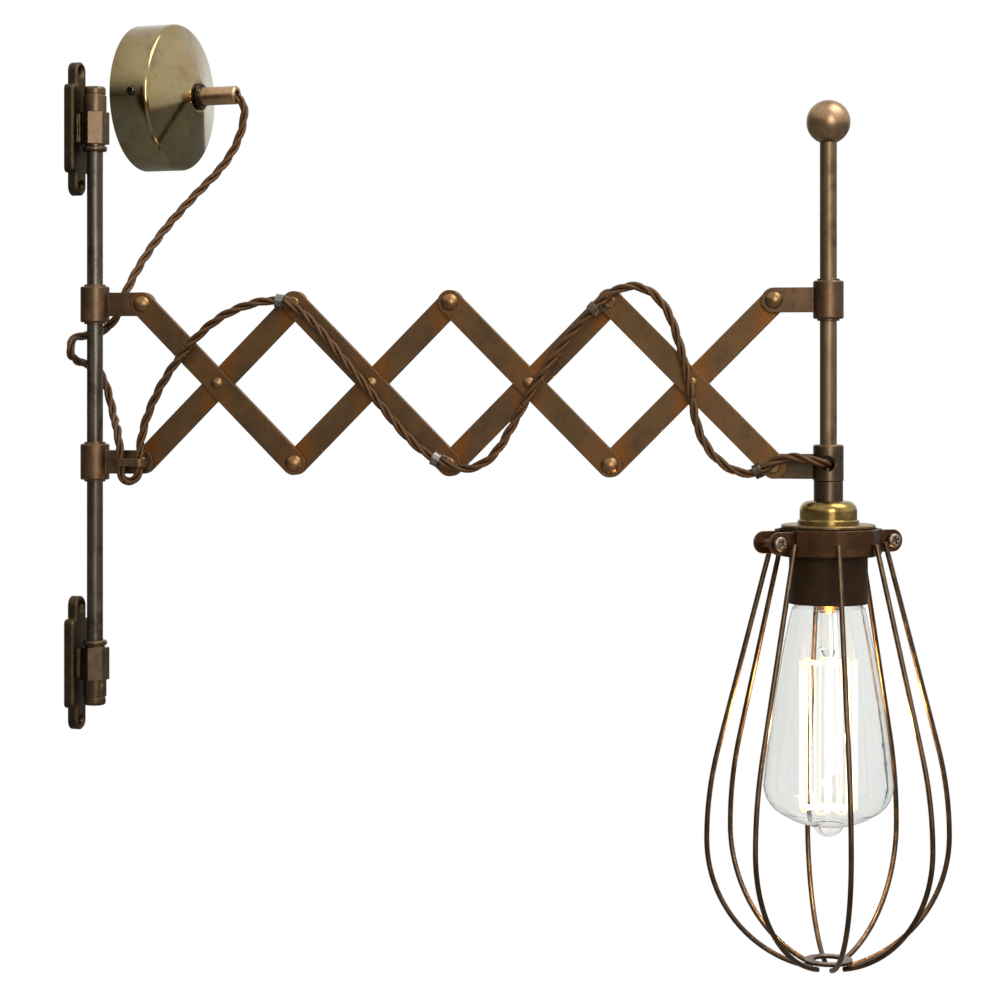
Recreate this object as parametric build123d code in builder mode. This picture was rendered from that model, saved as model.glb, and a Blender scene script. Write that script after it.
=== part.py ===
from build123d import *
import os
from math import atan2, cos, degrees, pi, radians, sin, sqrt, tan

os.makedirs("parts", exist_ok=True)

# Clearances
RUN_CLEAR = 0.05          # radial, between pieces that turn or slide on each other
FIT_CLEAR = 0.05          # radial, between pieces that are fixed in each other
FREE_CLEAR = 0.3          # between pieces that only pass each other

# Wall rod and brackets
ROD_D = 8.5
STANDOFF = 13.5           # wall face to rod axis
BRACKET_PITCH = 284.0     # between the two plate centres
PLATE_W = 18.0
PLATE_H = 47.0
PLATE_T = 5.4
PLATE_CORNER = 2.5
PLATE_BEVEL = 0.8
SCREW_TAB_W = 10.0
SCREW_OFFSET = 30.5       # plate centre to screw hole
SCREW_HOLE_D = 4.5
SCREW_SINK_D = 7.4
NECK_W = 9.0
NECK_H = 15.0
SOCKET_WALL = 1.35        # hex socket wall at its flats
SOCKET_H = 17.0
SPIGOT_D = 5.0
SPIGOT_L = 4.0
BUSH_WALL = 0.9
BUSH_LIP = 1.2
BUSH_LIP_T = 2.8
BUSH_LIP_ROUND = 1.0
BUSH_GROOVE_H = 1.1       # between lip and socket
CAP_WALL = 1.55
CAP_SKIRT_H = 8.8
CAP_GROOVE_H = 0.9
CAP_GROOVE_DEPTH = 0.7
CAP_HEAD_H = 3.9
CAP_HEAD_INSET = 0.4
CAP_HEAD_ROUND = 1.6
CAP_BORE_H = 8.0

# Canopy
CANOPY_D = 81.5
CANOPY_BAND = 22.5        # depth of the straight side
CANOPY_RISE = 11.0        # rise of the face from side to cord grip
CANOPY_WALL = 1.2
CANOPY_ROUND = 2.6
CANOPY_CROWN = 9.0
CANOPY_Y = 80.0
CANOPY_Z = 166.2
SIDE_SCREW_D = 3.8
SIDE_SCREW_X = 13.3
SIDE_HEAD_D = 5.6
SIDE_HEAD_H = 1.4
STRAP_W = 14.0
STRAP_T = 1.5
STRAP_LEG = 17.5
STRAP_HOLE_D = 4.5
STRAP_PITCH = 50.0
GRIP_D = 10.2
GRIP_L = 21.5
GRIP_BASE_D = 15.0
GRIP_BASE_T = 2.5
GRIP_THREAD_D = 9.0
GRIP_THREAD_L = 7.0
GRIP_BEVEL = 0.7
LOCKNUT_AF = 13.0
LOCKNUT_T = 3.5
TERMINAL_W = 22.0
TERMINAL_H = 13.0
TERMINAL_T = 13.0
TERMINAL_HOLE_D = 3.6
TERMINAL_SCREW_D = 2.8
TERMINAL_PITCH = 10.0

# Scissor arm
REST_SWIVEL = 9.0         # arm direction from the wall's normal, degrees
REST_ANGLE = 45.0         # bars from level, degrees
CROSSINGS = 4
BAR_L = 118.0             # between a bar's end pivots
BAR_W = 12.5
BAR_T = 3.0
LAYER_GAP = 0.2           # between front and rear bars
TAB_REACH = 27.0          # rod axis to the pivot on its tab
TAB_W = 12.5
ARM_Z = 6.8               # height of the middle pivots
COLLAR_WALL = 3.35
COLLAR_H = 19.0
COLLAR_BEVEL = 0.6
COLLAR_LIP = 1.3          # wall of the sleeve that stands out of a collar
COLLAR_LIP_H = 1.0
GRUB_D = 4.0
GRUB_INSET = 0.4
RIVET_D = 4.0
RIVET_HEAD_D = 9.0
RIVET_HEAD_H = 2.4
FLAT_HEAD_D = 6.4         # under the cord, at pivots that carry a clip
FLAT_HEAD_H = 0.8
CENTRE_RIVET_D = 3.2
CENTRE_HEAD_D = 6.4
CENTRE_HEAD_H = 1.6
REAR_HEAD_D = 7.2
REAR_HEAD_H = 1.5

# Cord and its clips
CORD_D = 4.8
CORD_ARC_SHARE = 0.45     # share of the shorter run that an arc takes up
CLIP_T = 1.0
CLIP_L = 4.0              # along the cord
CLIP_FOOT_W = 6.4
FOLD_STATION = 22.2       # middle of the two legs of the cord's fold
FOLD_PITCH = 10.1
FOLD_CLIP_Z = -35.0

# Lamp head
BLOCK_D = 15.2
BLOCK_H = 18.5
BLOCK_RISE = 11.0         # block top above the lower pivots
BLOCK_BEVEL = 0.6
BLOCK_ROD_DEPTH = 5.0
CORD_HOLE_D = 7.8
CORD_HOLE_DROP = 9.3      # block top to cord hole
CORD_HOLE_SHIFT = 0.45
WIRE_BORE_D = 5.6
KNOB_D = 22.0
KNOB_Z = 137.4
KNOB_BORE_H = 12.0
COUPLER_D = 14.6
COUPLER_H = 9.5
COUPLER_TOP_D = 9.0
COUPLER_TOP_L = 4.5
COUPLER_TAIL_D = 10.0
COUPLER_TAIL_L = 4.0
HOLDER_CAP_D = 28.6
HOLDER_CAP_H = 11.8
HOLDER_CAP_ROUND = 5.0
HOLDER_RIM = 1.0
HOLDER_RIM_H = 2.3
HOLDER_WALL = 1.4
FLANGE_D = 47.0
FLANGE_T = 2.0
FLANGE_BEVEL = 0.5
SKIRT_D = 39.2
SKIRT_WALL = 1.1
SKIRT_L = 37.5
SKIRT_HEAD_H = 13.8
CORE_D = 32.0
CORE_H = 11.8
SHELL_WALL = 0.6
SHELL_L = 20.5
SHELL_HOLE_D = 11.0
CONTACT_D = 8.0
CONTACT_H = 1.7

# Bulb
BULB_CAP_D = 26.2
BULB_CAP_L = 15.5
BULB_CAP_WALL = 0.4
BULB_BUTTON_D = 9.0
BULB_BUTTON_H = 1.3
BULB_INSULATOR_H = 2.9
GLASS_T = 0.8
GLASS_D = 64.8
GLASS_NECK_L = 5.5
GLASS_THROAT_D = 36.4
GLASS_BULGE = 1.6         # how far the long side bows out of its chord
GLASS_FLARE_H = 6.5
GLASS_SIDE_H = 88.5       # throat to widest place
GLASS_CORNER_R = 16.0     # round from side to base
GLASS_CORNER_TURN = 55.0  # how far that round goes, degrees
PIP_D = 15.5
PIP_H = 5.4
STEM_D = 9.0
STEM_FLARE_H = 9.0
STEM_L = 31.0
FILAMENTS = 16
FILAMENT_D = 0.6
FILAMENT_RING_D = 28.0
SUPPORT_D = 0.8
SUPPORT_ROD_D = 2.2
SUPPORT_DROP = 3.0        # stem end to the upper supports
SUPPORT_FOOT_GAP = 5.9    # support rod to the glass base

# Cage
CAGE_TURN = 37.5          # band's split direction from the arm direction, degrees
BAND_AF = 50.0
BAND_T = 1.2
BAND_H = 12.7
BAND_DROP = 0.2           # flange to band
EAR_GAP = 13.0            # between the ears of the two halves
EAR_REACH = 33.4          # cage axis to clamp screw
EAR_D = 11.2
CLAMP_SCREW_D = 4.0
CLAMP_HEAD_D = 7.4
CLAMP_HEAD_H = 2.6
CLAMP_NUT_AF = 7.0
CLAMP_NUT_T = 3.2
CLAMP_TAIL = 2.0          # screw past its nut
CAGE_WIRES = 8
CAGE_WIRE_D = 2.6
CAGE_WIRE_GAP = 0.1       # wire to the band's corner
CAGE_WIRE_DROP = 6.8      # band top to wire end
CAGE_LINE_H = 102.0       # height of the straight flank
CAGE_SLOPE = 14.7         # flank from vertical, degrees
CAGE_SIDE_R = 180.0
CAGE_BASE_R = 66.0
CAGE_RING_D = 24.0
CAGE_RING_W = 4.6
CAGE_RING_T = 1.5

# Frames that follow from the sizes above
swivel = radians(REST_SWIVEL)
arm_dir = Vector(cos(swivel), sin(swivel), 0)
arm_front = Vector(sin(swivel), -cos(swivel), 0)
rod_foot = Vector(STANDOFF, 0, 0)
up = Vector(0, 0, 1)
span = BAR_L * cos(radians(REST_ANGLE))
rise = BAR_L * sin(radians(REST_ANGLE))
high_z = ARM_Z + rise / 2
low_z = ARM_Z - rise / 2
end_station = 2 * TAB_REACH + CROSSINGS * span
front_face = LAYER_GAP / 2 + BAR_T
rear_face = -front_face
cord_front = front_face + CLIP_T + FLAT_HEAD_H + FREE_CLEAR + CORD_D / 2


def arm_point(station, front, height):
    """Place by distance along the arm, distance in front of its middle plane, and height."""
    return rod_foot + arm_dir * station + arm_front * front + up * height


def arm_plane(front):
    """Upright plane along the arm: x along the arm, y up, facing the front."""
    return Plane(origin=arm_point(0, front, 0), x_dir=arm_dir, z_dir=arm_front)


def level_plane(station, height):
    """Level plane with its origin on the arm's middle plane: x along the arm."""
    return Plane(origin=arm_point(station, 0, height), x_dir=arm_dir, z_dir=up)


def dome_point(rim_r, height):
    """A point half way up a round dome: distance from its axis, and height above its rim."""
    ball_r = (rim_r**2 + height**2) / (2 * height)
    half = atan2(rim_r, ball_r - height) / 2
    return ball_r * sin(half), height - ball_r * (1 - cos(half))


def pivot_station(index):
    """Distance along the arm to pivot column number index, the first on the wall tabs."""
    return TAB_REACH + index * span


# Wall brackets: plate with two screw tabs, and a neck to the hex socket
bracket_z = BRACKET_PITCH / 2
bush_r = ROD_D / 2 + RUN_CLEAR + BUSH_WALL
socket_bore_r = bush_r + FIT_CLEAR
socket_flat = socket_bore_r + SOCKET_WALL
for name, height in (("upper_wall_bracket", bracket_z), ("lower_wall_bracket", -bracket_z)):
    back = Plane(origin=(0, 0, height), x_dir=(0, 1, 0), z_dir=(1, 0, 0))
    with BuildPart() as bracket:
        with BuildSketch(back):
            RectangleRounded(PLATE_W, PLATE_H, PLATE_CORNER)
            SlotCenterToCenter(2 * SCREW_OFFSET, SCREW_TAB_W, rotation=90)
        extrude(amount=PLATE_T)
        chamfer(bracket.faces().sort_by(Axis.X)[-1].outer_wire().edges(), PLATE_BEVEL)
        with Locations(back.offset(PLATE_T)):
            with GridLocations(0, 2 * SCREW_OFFSET, 1, 2):
                CounterSinkHole(SCREW_HOLE_D / 2, SCREW_SINK_D / 2)
        with BuildSketch(back.offset(PLATE_T)):
            Rectangle(NECK_W, NECK_H)
        extrude(amount=STANDOFF - socket_flat - PLATE_T)
        with BuildSketch(back.offset(STANDOFF - socket_flat)):
            Circle(SPIGOT_D / 2 + FIT_CLEAR)
        extrude(amount=-SPIGOT_L - FREE_CLEAR, mode=Mode.SUBTRACT)
    bracket.part.label = name
    export_step(bracket.part, f"parts/{name}.step")

# Hex sockets, one at each bracket, with a spigot in the bracket's neck
socket_top = bracket_z + SOCKET_H / 2
socket_foot = bracket_z - SOCKET_H / 2
with BuildPart() as rod_sockets:
    with BuildSketch(Plane(origin=rod_foot + up * socket_foot)):
        RegularPolygon(socket_flat, 6, major_radius=False, rotation=30)
    extrude(amount=SOCKET_H)
    with BuildSketch(Plane(origin=(STANDOFF - socket_flat, 0, bracket_z), z_dir=(-1, 0, 0))):
        Circle(SPIGOT_D / 2)
    extrude(amount=SPIGOT_L)
    with BuildSketch(Plane(origin=rod_foot + up * socket_foot)):
        Circle(socket_bore_r)
    extrude(amount=SOCKET_H, mode=Mode.SUBTRACT)
    mirror(about=Plane.XY)
rod_sockets.part.label = "rod_sockets"
export_step(rod_sockets.part, "parts/rod_sockets.step")

# Flanged bushes in the sockets, in which the wall rod turns
rod_bore_r = ROD_D / 2 + RUN_CLEAR
lip_top = socket_foot - BUSH_GROOVE_H
with BuildPart() as rod_bushes:
    with BuildSketch(Plane(origin=rod_foot + up * (lip_top - BUSH_LIP_T))):
        Circle(bush_r + BUSH_LIP)
    extrude(amount=BUSH_LIP_T)
    fillet(rod_bushes.edges(), BUSH_LIP_ROUND)
    with BuildSketch(Plane(origin=rod_foot + up * lip_top)):
        Circle(bush_r)
    extrude(amount=BUSH_GROOVE_H + SOCKET_H)
    with BuildSketch(Plane(origin=rod_foot + up * (lip_top - BUSH_LIP_T))):
        Circle(rod_bore_r)
    extrude(amount=BUSH_LIP_T + BUSH_GROOVE_H + SOCKET_H, mode=Mode.SUBTRACT)
    mirror(about=Plane.XY)
rod_bushes.part.label = "rod_bushes"
export_step(rod_bushes.part, "parts/rod_bushes.step")

# Caps over the rod's ends, seated on the sockets: skirt, groove and a head with a round shoulder
cap_bore_r = ROD_D / 2 + FREE_CLEAR
cap_r = cap_bore_r + CAP_WALL
groove_foot = socket_top + CAP_SKIRT_H
head_foot = groove_foot + CAP_GROOVE_H
head_r = cap_r - CAP_HEAD_INSET
head_top = head_foot + CAP_HEAD_H
rod_section = Plane(origin=rod_foot, x_dir=(1, 0, 0), z_dir=(0, -1, 0))
with BuildPart() as rod_caps:
    with BuildSketch(rod_section):
        with BuildLine():
            rim = Polyline(
                (0, socket_top + CAP_BORE_H),
                (cap_bore_r, socket_top + CAP_BORE_H),
                (cap_bore_r, socket_top),
                (cap_r, socket_top),
                (cap_r, groove_foot),
                (cap_r - CAP_GROOVE_DEPTH, groove_foot),
                (cap_r - CAP_GROOVE_DEPTH, head_foot),
                (head_r, head_foot),
            )
            shoulder = FilletPolyline(
                rim @ 1, (head_r, head_top), (0, head_top), radius=CAP_HEAD_ROUND
            )
            Line(shoulder @ 1, rim @ 0)
        make_face()
    revolve(axis=Axis(rod_foot, up))
    mirror(about=Plane.XY)
rod_caps.part.label = "rod_caps"
export_step(rod_caps.part, "parts/rod_caps.step")

# Wall rod, from cap to cap
rod_half = socket_top + CAP_BORE_H - RUN_CLEAR
with BuildPart() as wall_rod:
    with BuildSketch(level_plane(0, -rod_half)):
        Circle(ROD_D / 2)
    extrude(amount=2 * rod_half)
wall_rod.part.label = "wall_rod"
export_step(wall_rod.part, "parts/wall_rod.step")

# Canopy cover: straight side, rounded shoulder, shallow face up to the cord grip
canopy_r = CANOPY_D / 2
canopy_top = CANOPY_BAND + CANOPY_RISE
canopy_seat_r = GRIP_BASE_D / 2 + 1.5 * CANOPY_WALL
grip_thread_r = GRIP_THREAD_D / 2
grip_hole_r = grip_thread_r + FIT_CLEAR
side_turn = atan2(canopy_r - canopy_seat_r, CANOPY_RISE)
crown_turn = pi / 2 - side_turn
canopy_foot = Vector(0, CANOPY_Y, CANOPY_Z)
canopy_section = Plane(origin=canopy_foot, x_dir=(1, 0, 0), z_dir=(0, -1, 0))
canopy_axis = Axis(canopy_foot, (1, 0, 0))
with BuildPart() as canopy_cover:
    with BuildSketch(canopy_section):
        with BuildLine():
            outside = FilletPolyline(
                (0, canopy_r),
                (CANOPY_BAND, canopy_r),
                (canopy_top, canopy_seat_r),
                (canopy_top, grip_hole_r),
                radius=[CANOPY_ROUND, CANOPY_CROWN],
            )
            inside = FilletPolyline(
                (0, canopy_r - CANOPY_WALL),
                (CANOPY_BAND - CANOPY_WALL * tan(side_turn / 2), canopy_r - CANOPY_WALL),
                (canopy_top - CANOPY_WALL, canopy_seat_r - CANOPY_WALL * tan(crown_turn / 2)),
                (canopy_top - CANOPY_WALL, grip_hole_r),
                radius=[CANOPY_ROUND - CANOPY_WALL, CANOPY_CROWN - CANOPY_WALL],
            )
            Line(outside @ 0, inside @ 0)
            Line(outside @ 1, inside @ 1)
        make_face()
    revolve(axis=canopy_axis)
    with BuildSketch(Plane(origin=canopy_foot + Vector(SIDE_SCREW_X, 0, 0), z_dir=(0, 1, 0))):
        Circle(SIDE_SCREW_D / 2 + FREE_CLEAR)
    extrude(amount=CANOPY_D, both=True, mode=Mode.SUBTRACT)
canopy_cover.part.label = "canopy_cover"
export_step(canopy_cover.part, "parts/canopy_cover.step")

# Wall strap inside the canopy, with turned-up ends for the side screws
strap_half = sqrt((canopy_r - CANOPY_WALL - FREE_CLEAR) ** 2 - (STRAP_W / 2) ** 2)
strap_back = Plane(origin=canopy_foot, x_dir=(0, 1, 0), z_dir=(1, 0, 0))
with BuildPart() as canopy_strap:
    with BuildSketch(Plane(origin=canopy_foot - up * STRAP_W / 2)):
        with BuildLine():
            Polyline(
                (0, -strap_half),
                (STRAP_LEG, -strap_half),
                (STRAP_LEG, STRAP_T - strap_half),
                (STRAP_T, STRAP_T - strap_half),
                (STRAP_T, strap_half - STRAP_T),
                (STRAP_LEG, strap_half - STRAP_T),
                (STRAP_LEG, strap_half),
                (0, strap_half),
                close=True,
            )
        make_face()
    extrude(amount=STRAP_W)
    with BuildSketch(strap_back):
        with GridLocations(STRAP_PITCH, 0, 2, 1):
            Circle(STRAP_HOLE_D / 2)
    extrude(amount=STRAP_T, mode=Mode.SUBTRACT)
    with BuildSketch(Plane(origin=canopy_foot + Vector(SIDE_SCREW_X, 0, 0), z_dir=(0, 1, 0))):
        Circle(SIDE_SCREW_D / 2 + FIT_CLEAR)
    extrude(amount=CANOPY_D, both=True, mode=Mode.SUBTRACT)
canopy_strap.part.label = "canopy_strap"
export_step(canopy_strap.part, "parts/canopy_strap.step")

# Side screws of the canopy, one on each side
screw_foot = canopy_foot + Vector(SIDE_SCREW_X, strap_half - 2 * STRAP_T, 0)
with BuildPart() as canopy_side_screws:
    with BuildSketch(Plane(origin=screw_foot, z_dir=(0, 1, 0))):
        Circle(SIDE_SCREW_D / 2)
    extrude(amount=canopy_r - strap_half + 2 * STRAP_T)
    with BuildSketch(Plane(origin=canopy_foot + Vector(SIDE_SCREW_X, canopy_r, 0), z_dir=(0, 1, 0))):
        Circle(SIDE_HEAD_D / 2)
    extrude(amount=SIDE_HEAD_H, taper=25)
    mirror(about=Plane(origin=canopy_foot, z_dir=(0, 1, 0)))
canopy_side_screws.part.label = "canopy_side_screws"
export_step(canopy_side_screws.part, "parts/canopy_side_screws.step")

# Cord grip: base ring on the canopy's crown, barrel outwards, thread inwards
grip_tip = canopy_top + GRIP_BASE_T + GRIP_L
cord_bore_r = CORD_D / 2 + FREE_CLEAR
with BuildPart() as cord_grip:
    with BuildSketch(canopy_section):
        with BuildLine():
            Polyline(
                (canopy_top - GRIP_THREAD_L, cord_bore_r),
                (canopy_top - GRIP_THREAD_L, grip_thread_r),
                (canopy_top, grip_thread_r),
                (canopy_top, GRIP_BASE_D / 2),
                (canopy_top + GRIP_BASE_T - GRIP_BEVEL, GRIP_BASE_D / 2),
                (canopy_top + GRIP_BASE_T, GRIP_BASE_D / 2 - GRIP_BEVEL),
                (canopy_top + GRIP_BASE_T, GRIP_D / 2),
                (grip_tip - GRIP_BEVEL, GRIP_D / 2),
                (grip_tip, GRIP_D / 2 - GRIP_BEVEL),
                (grip_tip, cord_bore_r),
                close=True,
            )
        make_face()
    revolve(axis=canopy_axis)
cord_grip.part.label = "cord_grip"
export_step(cord_grip.part, "parts/cord_grip.step")

# Locknut that holds the cord grip from inside the canopy
with BuildPart() as cord_grip_locknut:
    with BuildSketch(strap_back.offset(canopy_top - CANOPY_WALL - LOCKNUT_T)):
        RegularPolygon(LOCKNUT_AF / 2, 6, major_radius=False)
        Circle(grip_hole_r, mode=Mode.SUBTRACT)
    extrude(amount=LOCKNUT_T)
cord_grip_locknut.part.label = "cord_grip_locknut"
export_step(cord_grip_locknut.part, "parts/cord_grip_locknut.step")

# Terminal block on the strap, with two wire ways and a screw hole over each
with BuildPart() as terminal_block:
    with BuildSketch(strap_back.offset(STRAP_T)):
        Rectangle(TERMINAL_W, TERMINAL_H)
    extrude(amount=TERMINAL_T)
    wire_way = Vector(STRAP_T + TERMINAL_T / 2, 0, -TERMINAL_H / 2)
    with BuildSketch(Plane(origin=canopy_foot + wire_way, x_dir=(0, 1, 0), z_dir=(0, 0, 1))):
        with GridLocations(TERMINAL_PITCH, 0, 2, 1):
            Circle(TERMINAL_HOLE_D / 2)
    extrude(amount=TERMINAL_H, mode=Mode.SUBTRACT)
    with BuildSketch(strap_back.offset(STRAP_T + TERMINAL_T)):
        with GridLocations(TERMINAL_PITCH, 0, 2, 1):
            Circle(TERMINAL_SCREW_D / 2)
    extrude(amount=-TERMINAL_T / 2, mode=Mode.SUBTRACT)
terminal_block.part.label = "terminal_block"
export_step(terminal_block.part, "parts/terminal_block.step")

# Collars: ring on a rod, sleeve that stands out of it, and a flat tab to the pivot
collar_r = ROD_D / 2 + RUN_CLEAR + COLLAR_WALL
collar_lip_r = ROD_D / 2 + RUN_CLEAR + COLLAR_LIP
pivot_hole_r = RIVET_D / 2 + RUN_CLEAR


def collar_with_tab(station, pivot_z, side, tab_back):
    """Collar on the rod at station, with its tab towards side, its back face at tab_back."""
    foot_z = pivot_z - COLLAR_H / 2
    with BuildPart() as collar:
        with BuildSketch(level_plane(station, foot_z)):
            Circle(collar_r)
        extrude(amount=COLLAR_H)
        chamfer(collar.edges().filter_by(GeomType.CIRCLE), COLLAR_BEVEL)
        with BuildSketch(level_plane(station, foot_z - COLLAR_LIP_H)):
            Circle(collar_lip_r)
        extrude(amount=COLLAR_H + 2 * COLLAR_LIP_H)
        with BuildSketch(arm_plane(tab_back)):
            with Locations((station + side * TAB_REACH / 2, pivot_z)):
                Rectangle(TAB_REACH, TAB_W)
            with Locations((station + side * TAB_REACH, pivot_z)):
                Circle(TAB_W / 2)
                Circle(pivot_hole_r, mode=Mode.SUBTRACT)
        extrude(amount=BAR_T)
        with BuildSketch(level_plane(station, foot_z - COLLAR_LIP_H)):
            Circle(rod_bore_r)
        extrude(amount=COLLAR_H + 2 * COLLAR_LIP_H, mode=Mode.SUBTRACT)
    return collar.part


grub_plane = Plane(origin=arm_point(0, 0, low_z), x_dir=arm_dir, z_dir=arm_front * -1)
with BuildPart() as lower_wall_collar:
    add(collar_with_tab(0, low_z, 1, LAYER_GAP / 2))
    with BuildSketch(grub_plane):
        Circle(GRUB_D / 2 + FIT_CLEAR)
    extrude(amount=2 * collar_r, mode=Mode.SUBTRACT)
lower_wall_collar.part.label = "lower_wall_collar"
export_step(lower_wall_collar.part, "parts/lower_wall_collar.step")

upper_wall_collar = collar_with_tab(0, high_z, 1, rear_face)
upper_wall_collar.label = "upper_wall_collar"
export_step(upper_wall_collar, "parts/upper_wall_collar.step")

upper_end_collar = collar_with_tab(end_station, high_z, -1, LAYER_GAP / 2)
upper_end_collar.label = "upper_end_collar"
export_step(upper_end_collar, "parts/upper_end_collar.step")

# Grub screw at the back of the lower wall collar, which holds the arm's height
with BuildPart() as height_grub_screw:
    with BuildSketch(grub_plane.offset(ROD_D / 2 + FREE_CLEAR)):
        Circle(GRUB_D / 2)
    extrude(amount=collar_r - ROD_D / 2 - FREE_CLEAR - GRUB_INSET)
    with BuildSketch(grub_plane.offset(collar_r - GRUB_INSET)):
        RegularPolygon(GRUB_D / 4, 6, major_radius=False)
    extrude(amount=-GRUB_D / 4, mode=Mode.SUBTRACT)
height_grub_screw.part.label = "height_grub_screw"
export_step(height_grub_screw.part, "parts/height_grub_screw.step")

# Scissor bars: the front ones fall outwards, the rear ones rise outwards
for layer, back, slope in (("front", LAYER_GAP / 2, -1), ("rear", rear_face, 1)):
    for index in range(CROSSINGS):
        middle = (pivot_station(index) + span / 2, ARM_Z)
        with BuildPart() as bar:
            with BuildSketch(arm_plane(back)):
                with Locations(middle):
                    SlotCenterToCenter(BAR_L, BAR_W, rotation=slope * REST_ANGLE)
                    Circle(CENTRE_RIVET_D / 2 + RUN_CLEAR, mode=Mode.SUBTRACT)
                with Locations(
                    (pivot_station(index), ARM_Z - slope * rise / 2),
                    (pivot_station(index + 1), ARM_Z + slope * rise / 2),
                ):
                    Circle(pivot_hole_r, mode=Mode.SUBTRACT)
            extrude(amount=BAR_T)
        bar.part.label = f"{layer}_bar_{index + 1}"
        export_step(bar.part, f"parts/{layer}_bar_{index + 1}.step")


# Rivets: round heads in front, low heads behind, flat heads where a clip's foot lies under them
def rivet(station, height, shank_d, head_d, head_h, domed, seat):
    """Rivet across both layers of bars, its front head standing on seat."""
    foot = arm_point(station, 0, height)
    rear_seat = rear_face - RUN_CLEAR
    dome = dome_point(head_d / 2, head_h)
    with BuildPart() as pin:
        with BuildSketch(Plane(origin=foot, x_dir=up, z_dir=arm_dir)):
            with BuildLine():
                stem = Polyline(
                    (0, rear_seat - REAR_HEAD_H),
                    (REAR_HEAD_D / 2 - REAR_HEAD_H / 2, rear_seat - REAR_HEAD_H),
                    (REAR_HEAD_D / 2, rear_seat - REAR_HEAD_H / 2),
                    (REAR_HEAD_D / 2, rear_seat),
                    (shank_d / 2, rear_seat),
                    (shank_d / 2, seat),
                    (head_d / 2, seat),
                )
                if domed:
                    crown = ThreePointArc(
                        stem @ 1,
                        (dome[0], seat + dome[1]),
                        (0, seat + head_h),
                    )
                else:
                    crown = Polyline(
                        stem @ 1,
                        (head_d / 2, seat + head_h / 2),
                        (head_d / 2 - head_h / 2, seat + head_h),
                        (0, seat + head_h),
                    )
                Line(crown @ 1, stem @ 0)
            make_face()
        revolve(axis=Axis(foot, arm_front))
    return pin.part


def end_rivet(index, height, under_clip):
    """Rivet at pivot column number index; a clip's foot under its head raises it."""
    station = pivot_station(index)
    if under_clip:
        return rivet(station, height, RIVET_D, FLAT_HEAD_D, FLAT_HEAD_H, False, front_face + CLIP_T)
    return rivet(station, height, RIVET_D, RIVET_HEAD_D, RIVET_HEAD_H, True, front_face)


# The second and the last front bar carry the cord clips, at both of their ends
clip_bars = (1, CROSSINGS - 1)
for index in range(CROSSINGS):
    clipped = index in clip_bars
    centre = pivot_station(index) + span / 2
    with BuildPart() as bar_rivets:
        add(end_rivet(index, high_z, clipped))
        add(rivet(centre, ARM_Z, CENTRE_RIVET_D, CENTRE_HEAD_D, CENTRE_HEAD_H, True, front_face))
        add(end_rivet(index + 1, low_z, clipped))
    bar_rivets.part.label = f"rivets_bar_{index + 1}"
    export_step(bar_rivets.part, f"parts/rivets_bar_{index + 1}.step")

lower_wall_rivet = end_rivet(0, low_z, True)
lower_wall_rivet.label = "lower_wall_rivet"
export_step(lower_wall_rivet, "parts/lower_wall_rivet.step")

upper_end_rivet = end_rivet(CROSSINGS, high_z, False)
upper_end_rivet.label = "upper_end_rivet"
export_step(upper_end_rivet, "parts/upper_end_rivet.step")

# Bends of the cord, as distance along the arm, distance in front, and height; the first two
# stretches are given as distance from the wall, sideways and height
canopy_drop = [
    (grip_tip - 8.0, CANOPY_Y, CANOPY_Z),
    (61.6, CANOPY_Y, CANOPY_Z),
    (62.0, 79.5, 148.5),
    (54.2, 74.0, 128.0),
    (39.6, 56.0, 106.0),
    (29.2, 34.5, 82.0),
    (24.5, 14.0, 57.0),
    (19.5, 11.5, 40.0),
]
rod_loop = [
    (9.5, 13.0, 33.5),
    (2.9, 4.0, 32.0),
    (2.9, -7.5, 29.5),
    (2.9, -7.5, 20.5),
    (2.9, 4.0, 17.5),
    (9.0, 12.6, 14.5),
    (15.0, 11.8, 2.0),
    (19.5, 9.5, -11.0),
]
fold_rise = [
    (15.6, cord_front, -18.2),
    (17.0, cord_front, -31.0),
    (17.2, cord_front, -42.9),
    (22.2, cord_front, -45.8),
    (27.2, cord_front, -42.9),
    (27.2, cord_front, -31.5),
    (30.0, cord_front, -15.0),
    (37.5, cord_front, 2.5),
    (47.5, cord_front, 17.8),
]
first_top = [
    (60.1, cord_front, 32.2),
    (73.0, cord_front, 42.2),
    (87.0, cord_front, 47.8),
    (99.5, cord_front, 50.2),
    (109.5, cord_front, 48.4),
    (119.5, cord_front, 41.2),
    (129.0, cord_front, 31.0),
    (140.3, cord_front, 17.0),
]
middle_low = [
    (150.7, cord_front, 5.4),
    (161.0, cord_front, -7.6),
    (173.0, cord_front, -21.5),
    (183.0, cord_front, -29.8),
    (193.0, cord_front, -34.9),
    (203.0, cord_front, -37.6),
    (212.5, cord_front, -35.0),
    (220.5, cord_front, -27.8),
    (228.5, cord_front, -14.0),
]
third_top = [
    (238.5, cord_front, 4.2),
    (248.5, cord_front, 19.3),
    (256.5, cord_front, 29.8),
    (265.5, cord_front, 39.6),
    (275.0, cord_front, 49.4),
    (282.5, cord_front, 54.6),
    (290.3, cord_front, 56.3),
    (298.0, cord_front, 53.9),
    (304.3, cord_front, 48.5),
    (309.3, cord_front, 40.5),
    (312.6, cord_front, 30.5),
    (315.8, cord_front, 19.5),
    (318.8, cord_front, 6.0),
]
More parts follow.
